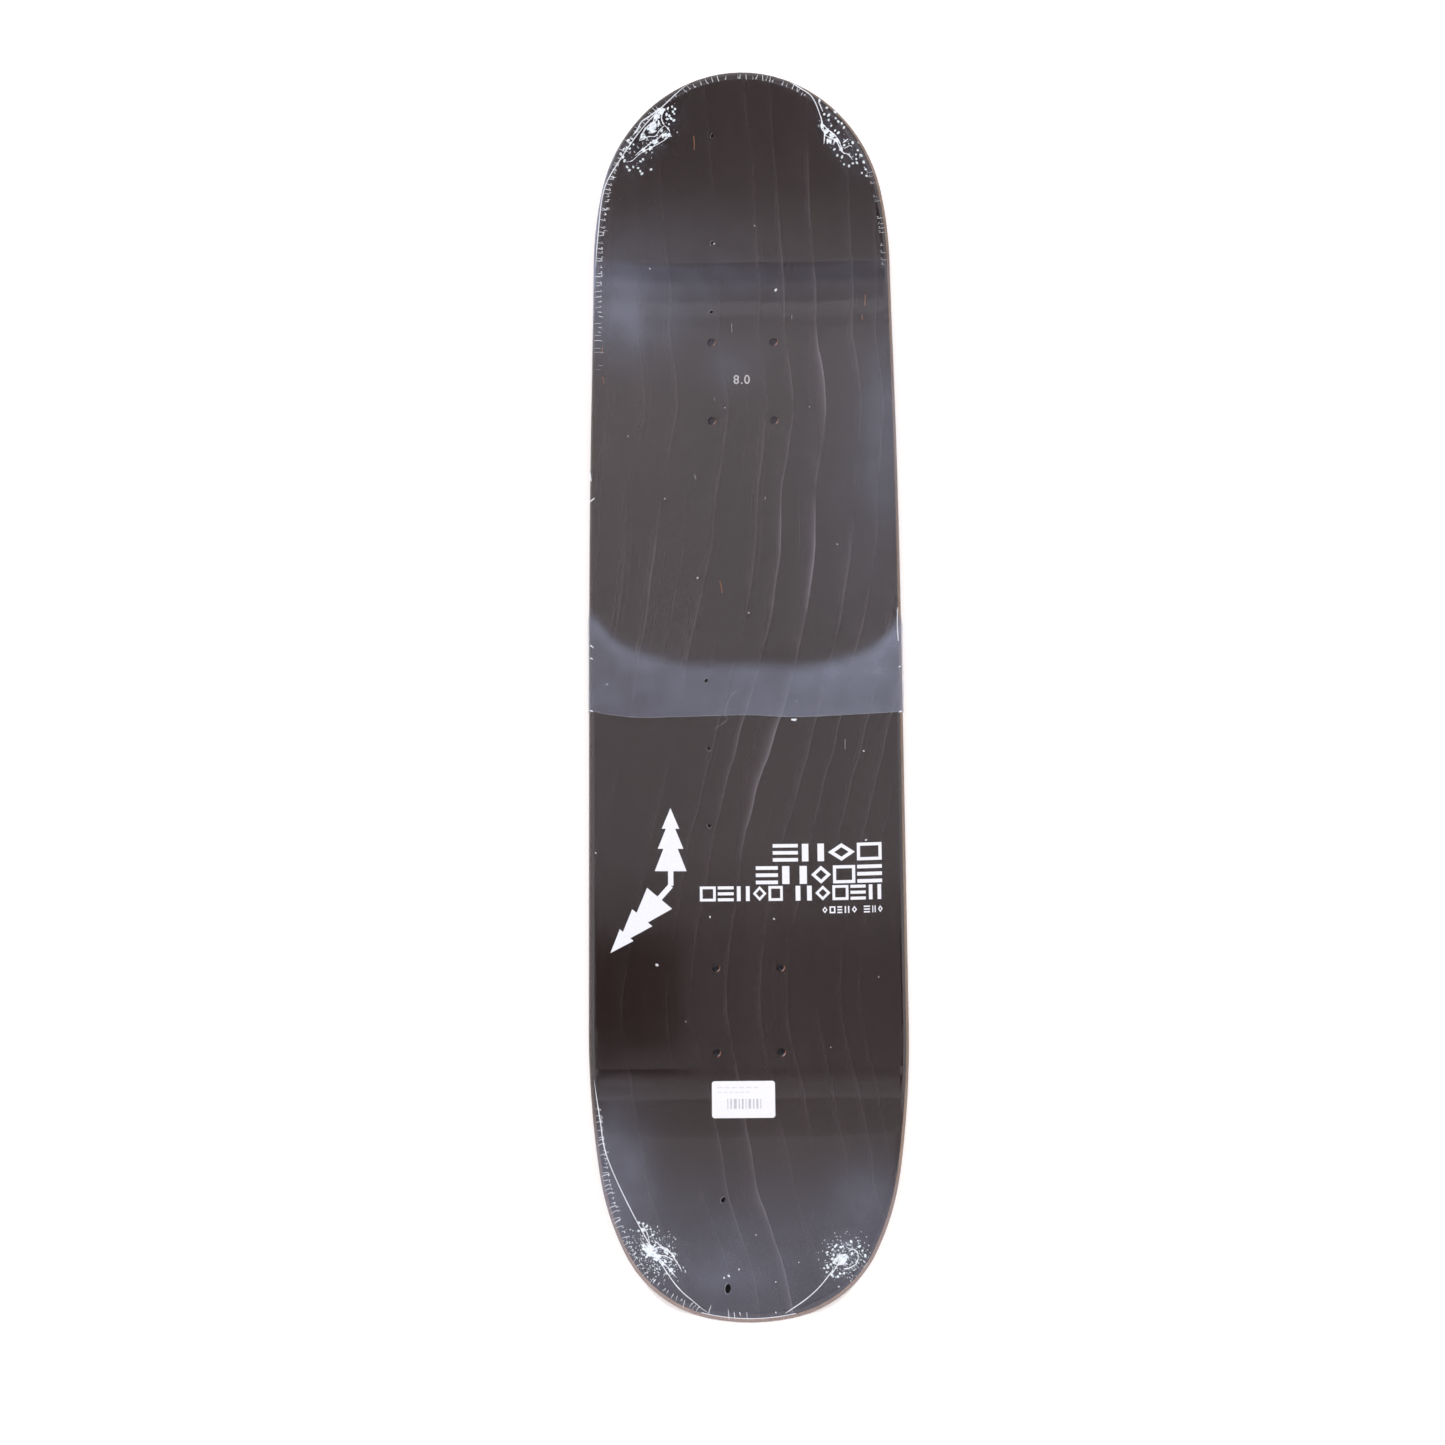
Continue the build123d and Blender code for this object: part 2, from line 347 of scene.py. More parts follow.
def growth_lines(tree, place, repeats, shift, core, glow):
    """Lines that end sharply on one side and fade on the other, each with a strength of its own."""
    line = math_node(tree, "MULTIPLY_ADD", place, GROWTH_STEPS * repeats, shift)
    share = math_node(tree, "FRACT", line)
    if repeats == 1:
        stops = [((k - 0.5) / GROWTH_STEPS, strength) for k, (_, strength) in enumerate(GROWTH) if k]
        own = ramp(tree, place, stops, "CONSTANT")
    else:
        whole = math_node(tree, "FLOOR", line)
        own = node(tree, "TexWhiteNoise", {"W": whole}, noise_dimensions="1D").outputs["Value"]
    sharp_line = times(tree, math_node(tree, "POWER", share, 17.0), core)
    soft_line = times(tree, math_node(tree, "POWER", share, 4.0), glow)
    return times(tree, math_node(tree, "ADD", sharp_line, soft_line), own)


def clinging_gloss(tree):
    """Inputs for the gloss of film that clings to a surface, slightly rippled."""
    ripple = bump(tree, noise(tree, 26.0, 1.0), 0.18, 0.0008)
    return {"Coat Weight": 1.0, "Coat IOR": 1.76, "Coat Roughness": 0.06, "Coat Normal": ripple}


def stained_veneer():
    """The nearly black riding face, with paler growth lines, under clinging film."""
    material, tree = new_material("stained_veneer")
    fibre = noise(tree, (700.0, 22.0, 50.0), 3.0, 0.4)
    flecks = noise(tree, (70.0, 420.0, 50.0))
    stripes = noise(tree, (110.0, 1.6, 1.0))
    colour = ramp(tree, noise(tree, (9.0, 2.2, 1.0), 3.0), (
        (0.3, (0.0150, 0.0078, 0.0064)), (0.5, (0.0195, 0.0110, 0.0096)), (0.72, (0.026, 0.0158, 0.0145)),
    ))
    colour = overlay(tree, 0.3, colour, fibre, ((0.3, (0.38, 0.36, 0.35)), (0.7, (0.72, 0.70, 0.69))))
    colour = overlay(tree, 0.14, colour, flecks, ((0.35, (0.40, 0.39, 0.39)), (0.65, (0.62, 0.61, 0.60))))
    colour = overlay(tree, 0.16, colour, stripes, ((0.3, (0.40, 0.39, 0.39)), (0.7, (0.62, 0.61, 0.62))))
    patchy = ramp(tree, noise(tree, (18.0, 10.0, 1.0), 3.0), ((0.38, 0.12), (0.60, 1)))
    broken = ramp(tree, fibre, ((0.2, 0.65), (0.5, 1)))
    presence = times(tree, patchy, ramp_along(tree, GROWTH_CLEAR))
    place = growth_field(tree)
    for repeats, shift, core, glow in ((1, 0.0, 0.95, 0.26), (3, 0.45, 0.05, 0.025)):
        lines = growth_lines(tree, place, repeats, shift, core, glow)
        colour = mix(tree, times(tree, lines, presence, broken, clamp=True), colour, (0.235, 0.205, 0.235))
    pores = math_node(tree, "ADD", times(tree, fibre, 0.6), times(tree, flecks, 0.1))
    rough = ramp(tree, fibre, ((0.3, 0.5), (0.7, 0.68)))
    inputs = {"Base Color": colour, "Roughness": rough, "Specular IOR Level": 0.1}
    inputs["Normal"] = bump(tree, pores, 0.15, 0.0002)
    show(tree, node(tree, "BsdfPrincipled", {**inputs, **clinging_gloss(tree)}))
    return material


def edge_painted_shade(tree):
    """Where painted shade darkens the rounded edge: not at the tail, and less on the right."""
    up = coordinate(tree, "Z", "Normal")
    along = math_node(tree, "ADD", coordinate(tree, "Y"), 0.5)
    side = math_node(tree, "ADD", coordinate(tree, "X"), 0.5)
    reach = ramp(tree, up, ((0.02, 0), (0.22, 1)))
    kept = ramp(tree, along, ((0.14, 0.12), (0.25, 1)))
    thin = ramp(tree, side, ((0.52, 0.95), (0.57, 0.5)))
    return times(tree, reach, kept, thin)


def maple(name, dark, light, streak, pores, varnish=0.0, painted_edge_shade=False):
    """Maple with streaks and pores, varnished or not; its rounded edge may be darkened with painted shade."""
    material, tree = new_material(name)
    colour = ramp(tree, noise(tree, (10.0, 2.5, 40.0), 3.0), ((0.3, dark), (0.7, light)))
    fibre = noise(tree, streak, 3.0, 0.3)
    colour = overlay(tree, 0.5, colour, fibre, ((0.3, (0.36, 0.34, 0.32)), (0.7, (0.66, 0.65, 0.63))))
    dots = noise(tree, pores)
    colour = overlay(tree, 0.35, colour, dots, ((0.38, (0.25, 0.22, 0.2)), (0.5, 0.5)))
    if painted_edge_shade:
        # Painted shade on the rounded edge
        colour = mix(tree, edge_painted_shade(tree), colour, (0.035, 0.023, 0.019))
    inputs = {"Base Color": colour, "Roughness": 0.55, "Coat Weight": varnish, "Coat Roughness": 0.15}
    inputs["Normal"] = bump(tree, fibre, 0.2, 0.0002)
    show(tree, node(tree, "BsdfPrincipled", inputs))
    return material


def printed(name, colour, shade, rough, glossy=True, paler=None):
    """Opaque ink or paper, a little uneven; beyond the place along the deck given as paler it is lighter."""
    material, tree = new_material(name)
    patches = noise(tree, 900.0, 3.0)
    tone = ramp(tree, patches, ((0.35, shade), (0.65, colour)))
    if paler:
        beyond = math_node(tree, "GREATER_THAN", coordinate(tree, "Y"), paler)
        tone = mix(tree, times(tree, beyond, 0.6), tone, (0.93, 0.93, 0.95))
    inputs = {"Base Color": tone, "Roughness": rough, "Specular IOR Level": 0.1}
    inputs["Normal"] = bump(tree, patches, 0.1, 0.0001)
    if glossy:
        inputs.update(clinging_gloss(tree))
    show(tree, node(tree, "BsdfPrincipled", inputs))
    return material


def film(name, white_gain=1.0, white_colour=(0.93, 0.95, 1.0), rough=0.12, mirror_gain=1.9):
    """Clear film, from its front only: it mirrors by angle, as far as its gloss, and is white by its haze,
    which is partly milky film and partly painted light.
    """
    material, tree = new_material(name)
    ripple = bump(tree, noise(tree, 34.0), 0.3, 0.0008)
    front = math_node(tree, "SUBTRACT", 1.0, node(tree, "NewGeometry").outputs["Backfacing"])
    by_angle = node(tree, "Fresnel", {"IOR": 1.5, "Normal": ripple}).outputs[0]
    gloss = node(tree, "Attribute", attribute_name="gloss").outputs["Fac"]
    share = times(tree, times(tree, by_angle, mirror_gain, clamp=True), front, gloss)
    inputs = {"Base Color": (0.9, 0.93, 1.0, 1), "Metallic": 1.0, "Roughness": rough, "Normal": ripple}
    mirror = node(tree, "BsdfPrincipled", inputs)
    clear = node(tree, "BsdfTransparent", {"Color": (1, 1, 1, 1)})
    glossy = node(tree, "MixShader", {0: share, 1: clear.outputs[0], 2: mirror.outputs[0]})
    haze_and_painted_light = node(tree, "Attribute", attribute_name="haze_and_painted_light").outputs["Fac"]
    mottle = ramp(tree, noise(tree, 60.0, 4.0), ((0.3, 0.75), (0.7, 1)))
    white_share = times(tree, times(tree, haze_and_painted_light, white_gain, mottle, clamp=True), front)
    inputs = {"Base Color": (*white_colour, 1), "Roughness": 0.5, "Specular IOR Level": 0.1, "Normal": ripple}
    white = node(tree, "BsdfPrincipled", inputs)
    show(tree, node(tree, "MixShader", {0: white_share, 1: glossy.outputs[0], 2: white.outputs[0]}))
    return material


VENEER = stained_veneer()
CORE = maple(
    "maple_core", (0.36, 0.235, 0.165), (0.47, 0.33, 0.245),
    (60.0, 8.0, 900.0), (500.0, 60.0, 900.0), painted_edge_shade=True,
)
CROSS = maple(
    "maple_crossband", (0.24, 0.150, 0.100), (0.33, 0.22, 0.155),
    (40.0, 700.0, 900.0), (300.0, 900.0, 900.0), painted_edge_shade=True,
)
BASE = maple(
    "base_veneer", (0.47, 0.31, 0.175), (0.60, 0.43, 0.26),
    (900.0, 24.0, 100.0), (500.0, 60.0, 100.0), varnish=0.4,
)
INK = printed("white_ink", (0.93, 0.935, 0.97), (0.87, 0.88, 0.93), 0.5)
MARK_INK = printed("white_ink_thin", (0.56, 0.54, 0.54), (0.40, 0.385, 0.385), 0.5)
PAPER = printed("label_paper", (0.955, 0.955, 0.965), (0.92, 0.92, 0.93), 0.6)
# The short grey lines on the label, in the upper part of its print, are paler than the bars
bars_low, bars_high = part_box("label_bars")
bars_top = bars_low[1] * 0.45 + bars_high[1] * 0.55
BARS = printed("label_ink", (0.62, 0.62, 0.66), (0.52, 0.52, 0.56), 0.6, paler=bars_top)
# Strength and colour of the film's milky white, which also carries painted light
VEIL_GAIN = 2.5
VEIL = (0.330, 0.348, 0.452)
FILM = film("shrink_film", VEIL_GAIN, VEIL, 0.07)
LAP_FILM = film("film_lap_clear", VEIL_GAIN, VEIL, 0.09)
# White marks on the film: seams, dust and scratches, and painted glints on creases and folds
CREASE_AND_GLINT = film("film_crease_and_painted_glint")
# White of crumpled film: partly whitened film, partly painted glints
WHITENED_AND_GLINT_FILM = film("film_whitened_and_painted_glint", 1.0, (0.90, 0.97, 1.0), 0.1, mirror_gain=4.0)

for name, material in (
    ("deck_ply_1_face", VENEER), ("deck_ply_2_core", CORE), ("deck_ply_3_crossband", CROSS),
    ("deck_ply_4_core", CORE), ("deck_ply_5_crossband", CROSS), ("deck_ply_6_core", CORE),
    ("deck_ply_7_base", BASE), ("ink_motif", INK), ("ink_rows", INK), ("ink_size_mark", MARK_INK),
    ("label_paper", PAPER), ("label_bars", BARS),
):
    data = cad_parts[name].data
    data.materials.clear()
    data.materials.append(material)


# ---- The film ----
# Steps round the rounded edge, and how far before the face its wall and its middle count as distance inward
ROUND_STEPS = 6
WALL_TRAVEL = -1.55 * ROUND
MIDDLE_TRAVEL = -1.9 * ROUND
# Share of the way to the tips at which the rings of film start along the centreline
SPINE = 0.735


def rim_frame(points, outs, top):
    """Centre of the rounded edge and the two directions it turns between, at each rim point."""
    inner = points - outs * ROUND
    depth = 0.0 if top else THICK
    gx, gy = slope(*inner.T, depth)
    tilt = np.sqrt(1 + gx ** 2 + gy ** 2)
    sign = -1 if top else 1
    centre = np.column_stack([inner, height(*inner.T, depth) + sign * ROUND * tilt])
    face = normal(*inner.T, depth) * -sign
    wall = np.column_stack([outs, np.zeros(len(outs))])
    return centre, face, wall


def turn_between(a, b, share):
    """Directions a share of the way round from a to b."""
    angle = np.arccos(np.clip((a * b).sum(1, keepdims=True), -1, 1))
    return (np.sin((1 - share) * angle) * a + np.sin(share * angle) * b) / np.sin(angle)


def film_layer(count, spans, top, lift, relief):
    """Rings of points from the middle of the rim to the centreline, with their haze, painted light and gloss.
    """
    points, outs, share, length = outline(count)
    centre, face, wall = rim_frame(points, outs, top)
    other = rim_frame(points, outs, not top)[0]
    rings = [np.column_stack([points, (centre[:, 2] + other[:, 2]) / 2])]
    directions = [wall]
    travel = [np.full(count, MIDDLE_TRAVEL)]
    for k in range(ROUND_STEPS + 1):
        direction = turn_between(wall, face, k / ROUND_STEPS)
        rings.append(centre + direction * ROUND)
        directions.append(direction)
        travel.append(np.full(count, WALL_TRAVEL * (1 - k / ROUND_STEPS)))
    start = rings[-1][:, :2]
    spine = NOSE_TIP * SPINE - share * (NOSE_TIP + TAIL_TIP) * SPINE
    target = np.column_stack([np.zeros(count), spine])
    reach = np.linalg.norm(target - start, axis=1)
    depth, side = (0.0, 1) if top else (THICK, -1)
    for span in spans:
        part = span / spans[-1]
        plan = start + (target - start) * part
        if span == spans[-1]:
            plan[:, 0] = 0.0
        rings.append(np.column_stack([plan, height(*plan.T, depth)]))
        directions.append(normal(*plan.T, depth) * side)
        travel.append(reach * part)
    surface = np.array(rings)
    along = np.arange(count) * (2 * length / count)
    extra, haze_and_painted_light, gloss = relief(surface, np.array(travel), along)
    return surface + np.array(directions) * (lift + extra)[..., None], haze_and_painted_light, gloss


def fold_spine(faces, rows, count):
    """Let the two sides of each innermost ring, folded flat on the centreline, share their points."""
    merge = {}
    for base in ((rows - 1) * count, (2 * rows - 1) * count):
        for i in range(1, count // 2):
            merge[base + count - i] = base + i
    fixed = []
    for face in faces:
        face = [merge.get(v, v) for v in face]
        face = [v for k, v in enumerate(face) if v != face[k - 1]]
        if len(face) > 2:
            fixed.append(face)
    return fixed


def clean(piece):
    """Drop loose points and turn all faces outward."""
    bm = bmesh.new()
    bm.from_mesh(piece.data)
    loose = [v for v in bm.verts if not v.link_faces]
    bmesh.ops.delete(bm, geom=loose, context="VERTS")
    bmesh.ops.recalc_face_normals(bm, faces=bm.faces)
    bm.to_mesh(piece.data)
    bm.free()


def film_skin(name, count, spans, top, relief):
    """The whole skin of film over the riding side or the underside."""
    layers = [film_layer(count, spans, top, LIFT - k * FILM_GAP, relief) for k in (0, 1)]
    (outer, haze_and_painted_light, gloss), (inner, _, _) = layers
    rows = len(outer)
    under = rows * count
    faces = grid_faces(rows, count) + grid_faces(rows, count, under, flip=True)
    for i in range(count):
        m = (i + 1) % count
        faces.append([i, under + i, under + m, m])
    piece = add_skin(name, outer, inner, fold_spine(faces, rows, count), haze_and_painted_light, gloss, FILM)
    clean(piece)
    return piece


# Corner gathers of the film, in plan millimetres: middle, reach, turn in degrees and number of the small
# blisters, lines of creases, puckered patches as x, y and radius, and places of larger blisters
GATHERS = {
    "nose_left": {
        "middle": (-60, 365), "reach": (21, 8.5), "turn": 46, "small": 70,
        "creases": (
            ((-67.2, 363.2), (-61.1, 366.1), (-56.5, 366.6), (-53.7, 370.2), (-50.4, 373.3)),
            ((-50.4, 373.3), (-52.2, 377.1), (-51.7, 380.6), (-49.6, 384.1)),
            ((-67.2, 363.2), (-65.3, 367.2), (-62.5, 371.6), (-57.8, 375.3), (-56.8, 377.9), (-51.7, 383.2)),
            ((-71.3, 366.5), (-68, 370.6), (-65.6, 375), (-61, 378.2), (-55.4, 382.2), (-50.7, 385.4)),
            ((-61.1, 370.8), (-57.8, 374.4), (-55, 377.1)),
            (
                (-76.6, 349.8), (-72, 350.9), (-67.3, 355), (-63.6, 357.3), (-58, 360.1), (-50.1, 364.6),
                (-46.3, 368.2),
            ),
            (
                (-70.1, 354), (-66.3, 357.2), (-62.6, 359.9), (-58.9, 362.7), (-55.1, 364.9), (-51.9, 368),
                (-49.5, 370.3),
            ),
            ((-50.4, 373.3), (-48.1, 371.6), (-46.8, 369.4)),
        ),
        "puckers": (
            (-58.8, 370.9, 2.7), (-55.5, 374.5, 1.9), (-55, 378.8, 1.9), (-52.6, 381.9, 2.3),
            (-64.4, 366.4, 1.6), (-56.6, 363.2, 1.6), (-50.5, 366.8, 1.6), (-64.5, 357.7, 1.4),
            (-47.6, 367.2, 1.3), (-60, 359, 1.2),
        ),
        "blisters": (
            (-45.2, 385), (-43.3, 383.6), (-48, 383.9), (-44.7, 382), (-48.9, 380.2), (-47.1, 379.4),
            (-43.8, 380.7), (-48.5, 377.4), (-46, 377.7), (-44.1, 376.6), (-47.4, 374.2), (-48.1, 371.6),
            (-52.3, 370), (-74.3, 363.3), (-73, 361.7), (-70.9, 360.9), (-73.5, 358.2), (-77.4, 357.7),
            (-75.3, 358.7), (-79.3, 354.8), (-77.9, 352.7), (-77, 350.6), (-75.3, 346.8), (-73.9, 344.9),
            (-71.3, 347), (-68.1, 346.5), (-66.7, 344.6), (-65.6, 343.1), (-66.4, 350.7), (-64.8, 352),
            (-59.6, 345.9),
        ),
    },
    "nose_right": {
        "middle": (67, 361), "reach": (20, 7), "turn": -52, "small": 26,
        "creases": (
            ((51.5, 387.6), (52.8, 384.4), (54.4, 380.8)),
            ((53, 378.5), (53.6, 374.6), (53.5, 370.6), (55.4, 367.4), (55, 360.7)),
            ((53.6, 373.8), (57.7, 369.6), (61.9, 366.3), (64.4, 363), (66.1, 359.4), (67.8, 354.9)),
            ((57.3, 364.2), (57.3, 360.6)),
            ((59.8, 363.6), (59.2, 360.5)),
            ((62.1, 362.7), (61.3, 360)),
            (
                (55.4, 366.6), (58.1, 364.9), (62.8, 362.7), (64.4, 360.3), (66.1, 356.6), (68.2, 354.5),
                (71.1, 353.5), (74, 349.8),
            ),
            ((68.2, 357.3), (72.4, 359), (73.6, 357.7)),
            ((67.4, 360.9), (71.1, 363.2)),
            ((55.4, 367), (58.6, 368.8), (60.3, 367.2), (61.9, 365.9)),
        ),
        "puckers": (
            (53.8, 372.2, 1.2), (56.5, 368.1, 1.5), (60.2, 365.6, 1.5), (62.8, 362.3, 1.5),
            (66.1, 357.4, 1.1), (58.6, 362.5, 1.2),
        ),
        "blisters": (
            (57, 383.1), (62.4, 380.2), (58.2, 378.5), (62.8, 376.3), (58.2, 375.5), (64.5, 374.2),
            (66.8, 372.9), (59.9, 371.9), (68.2, 370.3), (62.4, 368.8), (64.5, 367.3), (68.4, 359.4),
            (73.9, 360.6), (77.2, 355.7), (76.1, 353.2), (79.3, 352.4), (76.3, 350.4), (76.7, 348),
            (74, 347.8), (68.2, 347.6), (71.5, 346.4), (63.8, 353.4), (66.9, 352.2), (61.9, 357.2),
            (81.1, 348.1), (82.4, 343.5), (83, 339.5), (79.9, 341.5), (55.3, 379.2), (52.2, 387.8),
        ),
    },
    "tail_left": {
        "middle": (-59, -360), "reach": (17, 10.5), "turn": -50, "small": 440,
        "creases": (
            (
                (-68.3, -351.3), (-64.8, -355.4), (-61.8, -358.3), (-57.7, -361.3), (-54.7, -365.3),
                (-51.8, -367.7), (-45.9, -374.6),
            ),
            ((-67.2, -342), (-63.6, -349), (-61.8, -358.3)),
            (
                (-60.1, -351.4), (-55.4, -355.5), (-51.8, -357.3), (-48.3, -361.3), (-46.5, -364.3),
                (-44.1, -367.7), (-42.6, -371.2),
            ),
            ((-61.8, -358.3), (-56.5, -356.1), (-51.8, -358.4)),
            ((-65.3, -362.9), (-61.8, -358.9), (-58.9, -353.7)),
            ((-57.7, -361.3), (-53, -361.3), (-47.7, -364.2)),
        ),
        "puckers": (
            (-61.8, -358.3, 3.4), (-64.8, -356, 2.2), (-58.3, -361.3, 2.3), (-54.1, -365.3, 2),
            (-51.8, -359, 1.6), (-47.7, -360.8, 1.4), (-66.5, -345.5, 1.2), (-49.5, -369.8, 1.2),
        ),
        "blisters": (
            (-69.2, -341), (-66.6, -341.6), (-64.4, -343.2), (-62, -345), (-69.4, -346), (-60.6, -348.6),
        ),
    },
    "tail_right": {
        "middle": (58.5, -363), "reach": (13.5, 12), "turn": 40, "small": 300,
        "creases": (
            ((50.4, -366.6), (52.6, -364.1), (56.1, -361.6), (59.6, -361.6)),
            ((50.4, -366.6), (54.2, -367.5), (59.4, -366.7)),
            ((60, -359.5), (63.1, -358.2), (65.6, -360.4), (65.9, -364.2), (63.7, -366.7)),
            ((48.5, -373.8), (51.6, -370), (54.3, -365.8)),
            ((56.7, -370), (60.2, -369.6), (64.1, -367.5), (65.9, -365.4)),
        ),
        "puckers": ((54.3, -364.1, 2.3), (56.9, -363.3, 2.5), (56, -365.8, 1.6), (51.7, -365.8, 1.2)),
        "blisters": (
            (47.1, -359.8), (51.9, -356.4), (52.8, -355.6), (50.6, -358.1), (55.4, -356.9), (56.7, -356.5),
            (61.9, -353.5), (67, -356.5), (44.9, -369.5), (46.7, -367.8), (47.3, -369.1), (49.1, -367.2),
            (46.4, -371.9), (49.4, -373.4), (50.9, -361.5), (50, -364.1), (54.5, -372.8), (57.1, -372.6),
            (53.2, -374.6), (68.7, -359.1), (70.3, -362.1), (62.2, -360.8),
        ),
    },
}


def rotated(x, y, angle):
    """Plan coordinates turned about the origin."""
    c, s = math.cos(angle), math.sin(angle)
    return x * c - y * s, x * s + y * c


def gather_pull(x, y):
    """How strongly the film is gathered at plan points, from 0 to 1."""
    total = np.zeros_like(x)
    for gather in GATHERS.values():
        (cx, cy), (length, width) = gather["middle"], gather["reach"]
        u, v = rotated(x / MM - cx, y / MM - cy, math.radians(-gather["turn"]))
        total += np.exp(-((u / (length * 1.1)) ** 2 + (v / (width * 1.2)) ** 2) * 1.2)
    return np.clip(total, 0, 1)


def rim_weights(x, y):
    """How wrinkled the rim is at each point: most at the nose-left and tail-left corners."""
    left = x < 0
    nose_left = np.where(left, ease(0.20, 0.26, y) * (1 - ease(0.385, 0.40, y)), 0)
    nose_top = ease(0.392, 0.40, y) * 0.8
    nose_right = np.where(~left, ease(0.25, 0.29, y) * (1 - ease(0.34, 0.36, y)), 0) * 0.45
    tail_left = np.where(left, ease(0.25, 0.28, -y), 0) * 0.9
    return np.clip(nose_left + nose_top + nose_right + tail_left, 0, 1)


def rim_folds(surface, travel, along, reach, pitch, seed):
    """How much the film is gathered beside the rim, within a reach, and its small folds, by their pitch."""
    near = np.exp(-np.maximum(travel, 0) / reach) * ease(-9 * MM, -2 * MM, travel)
    folds = lattice_noise(along / pitch, travel / (14 * MM) + 3, seed) ** 2
    return rim_weights(surface[1, :, 0], surface[1, :, 1]) * near, folds


# Spots that are partly milky film and partly painted sheen: how strong, middle and reach both ways in plan
# millimetres
SHEEN_AND_HAZE_SPOTS = (
    (0.138, -80, 256, 30, 29), (0.030, -40, 262, 60, 36), (0.044, -8, 218, 18, 15),
    (0.068, 97, 180, 18, 60), (0.030, 80, 145, 36, 90), (0.012, -60, 310, 60, 20),
    (0.150, -86, -314, 22, 38), (0.062, 72, -328, 22, 22), (0.040, -15, -374, 32, 22),
)


def stand_off_haze_and_painted_light(x, y, travel, left_rail):
    """Milkiness where the film stands off, with painted light: spots of milky film and painted sheen, painted
    light inside the bends, and a painted highlight along the left rail.
    """
    patches = 0.75 + 0.5 * lattice_noise(x / (12 * MM) + 4, y / (18 * MM) + 4, 17)
    spots = 0
    for amount, cx, cy, rx, ry in SHEEN_AND_HAZE_SPOTS:
        spots = spots + amount * np.exp(-((x / MM - cx) / rx) ** 2 - ((y / MM - cy) / ry) ** 2)
    # Painted light in the nose bend, which makes up for the shade of the card there
    bend = (0.018 + 0.012 * ease(30 * MM, -60 * MM, x)) * ease(252 * MM, 274 * MM, y)
    bend = bend * ease(290 * MM, 284 * MM, y)
    bend = bend + 0.020 * ease(288.5 * MM, 285 * MM, y) * ease(268 * MM, 276 * MM, y)
    # Painted light towards the tail
    tail = 0.072 * ease(-285 * MM, -365 * MM, y)
    # A painted highlight along the left rail, on the rounded edge
    rail = 0.30 * left_rail * ease(240 * MM, 300 * MM, y) * ease(-2.0 * MM, -6.0 * MM, travel)
    return patches * spots + bend + tail + rail


def riding_relief(surface, travel, along):
    """Wrinkles of the film over the riding side, how milky it is with painted light, and where it stands off
    and shines.
    """
    x, y = surface[..., 0], surface[..., 1]
    gathered, folds = rim_folds(surface, travel, along, 2.6 * MM, 2.2 * MM, 5)
    slow = lattice_noise(x / (38 * MM) + 9, y / (60 * MM) + 9, 11) - 0.5
    pull = gather_pull(x, y)
    crumple = np.abs(lattice_noise(x / (3.4 * MM), y / (3.4 * MM), 21) - 0.5) * 2
    extra = 0.1 * MM * gathered * folds + 0.05 * MM * slow * ease(2 * MM, 20 * MM, travel)
    extra = extra + 0.35 * MM * pull * crumple * ease(0, 6 * MM, travel)
    for bolt_x, bolt_y in BOLTS:
        away = np.hypot(x / MM - bolt_x, y / MM - bolt_y)
        extra = extra - 0.28 * MM * (1 - ease(1.2, 3.2, away))
    left_rail = ease(-60 * MM, -95 * MM, x) * ease(-260 * MM, -200 * MM, y) * ease(395 * MM, 350 * MM, y)
    # Whiter where the film is gathered: partly whitened film, partly painted glints
    haze_and_painted_light = 0.10 * pull * crumple + 0.02 * gathered * folds + stand_off_haze_and_painted_light(x, y, travel, left_rail)
    on_wall = 1 - ease(-5 * MM, -3 * MM, travel)
    return extra, haze_and_painted_light, np.maximum((0.25 + 0.4 * left_rail) * on_wall, 0.5 * pull)


def under_relief(surface, travel, along):
    """Wrinkles, haze and gloss of the film over the underside, smooth where the deck rests."""
    gathered, folds = rim_folds(surface, travel, along, 8 * MM, 3.2 * MM, 6)
    lifted = ease(6 * MM, 16 * MM, surface[..., 2])
    stand_off = np.maximum(0.7 * (1 - ease(-3 * MM, 2 * MM, travel)), 0.4 * gathered)
    return 0.25 * MM * gathered * folds * lifted, 0.015 + 0.1 * gathered * folds, stand_off


# Distances inward from the rim, in metres, that space the rings of film
TOP_SPANS = np.concatenate([np.arange(1.6, 46, 1.6), np.linspace(48.5, 96, 12)]) * MM
UNDER_SPANS = np.concatenate([np.arange(2.5, 30, 2.5), np.linspace(34, 96, 12)]) * MM
film_top = film_skin("film_riding_side_skin", 1000, TOP_SPANS, True, riding_relief)
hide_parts("film_riding_side")
film_under = film_skin("film_underside_skin", 640, UNDER_SPANS, False, under_relief)
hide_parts("film_underside")


# ---- Small pieces on the film and the veneer ----
# Sides of a strand and how flat it lies; sides of a blister and its rings, as shares of its radius and height
STRAND_SIDES = 6
STRAND_FLAT = 0.8
DOME_SIDES = 8
DOME_RINGS = ((1.0, -0.25), (0.9, 0.25), (0.55, 0.8))


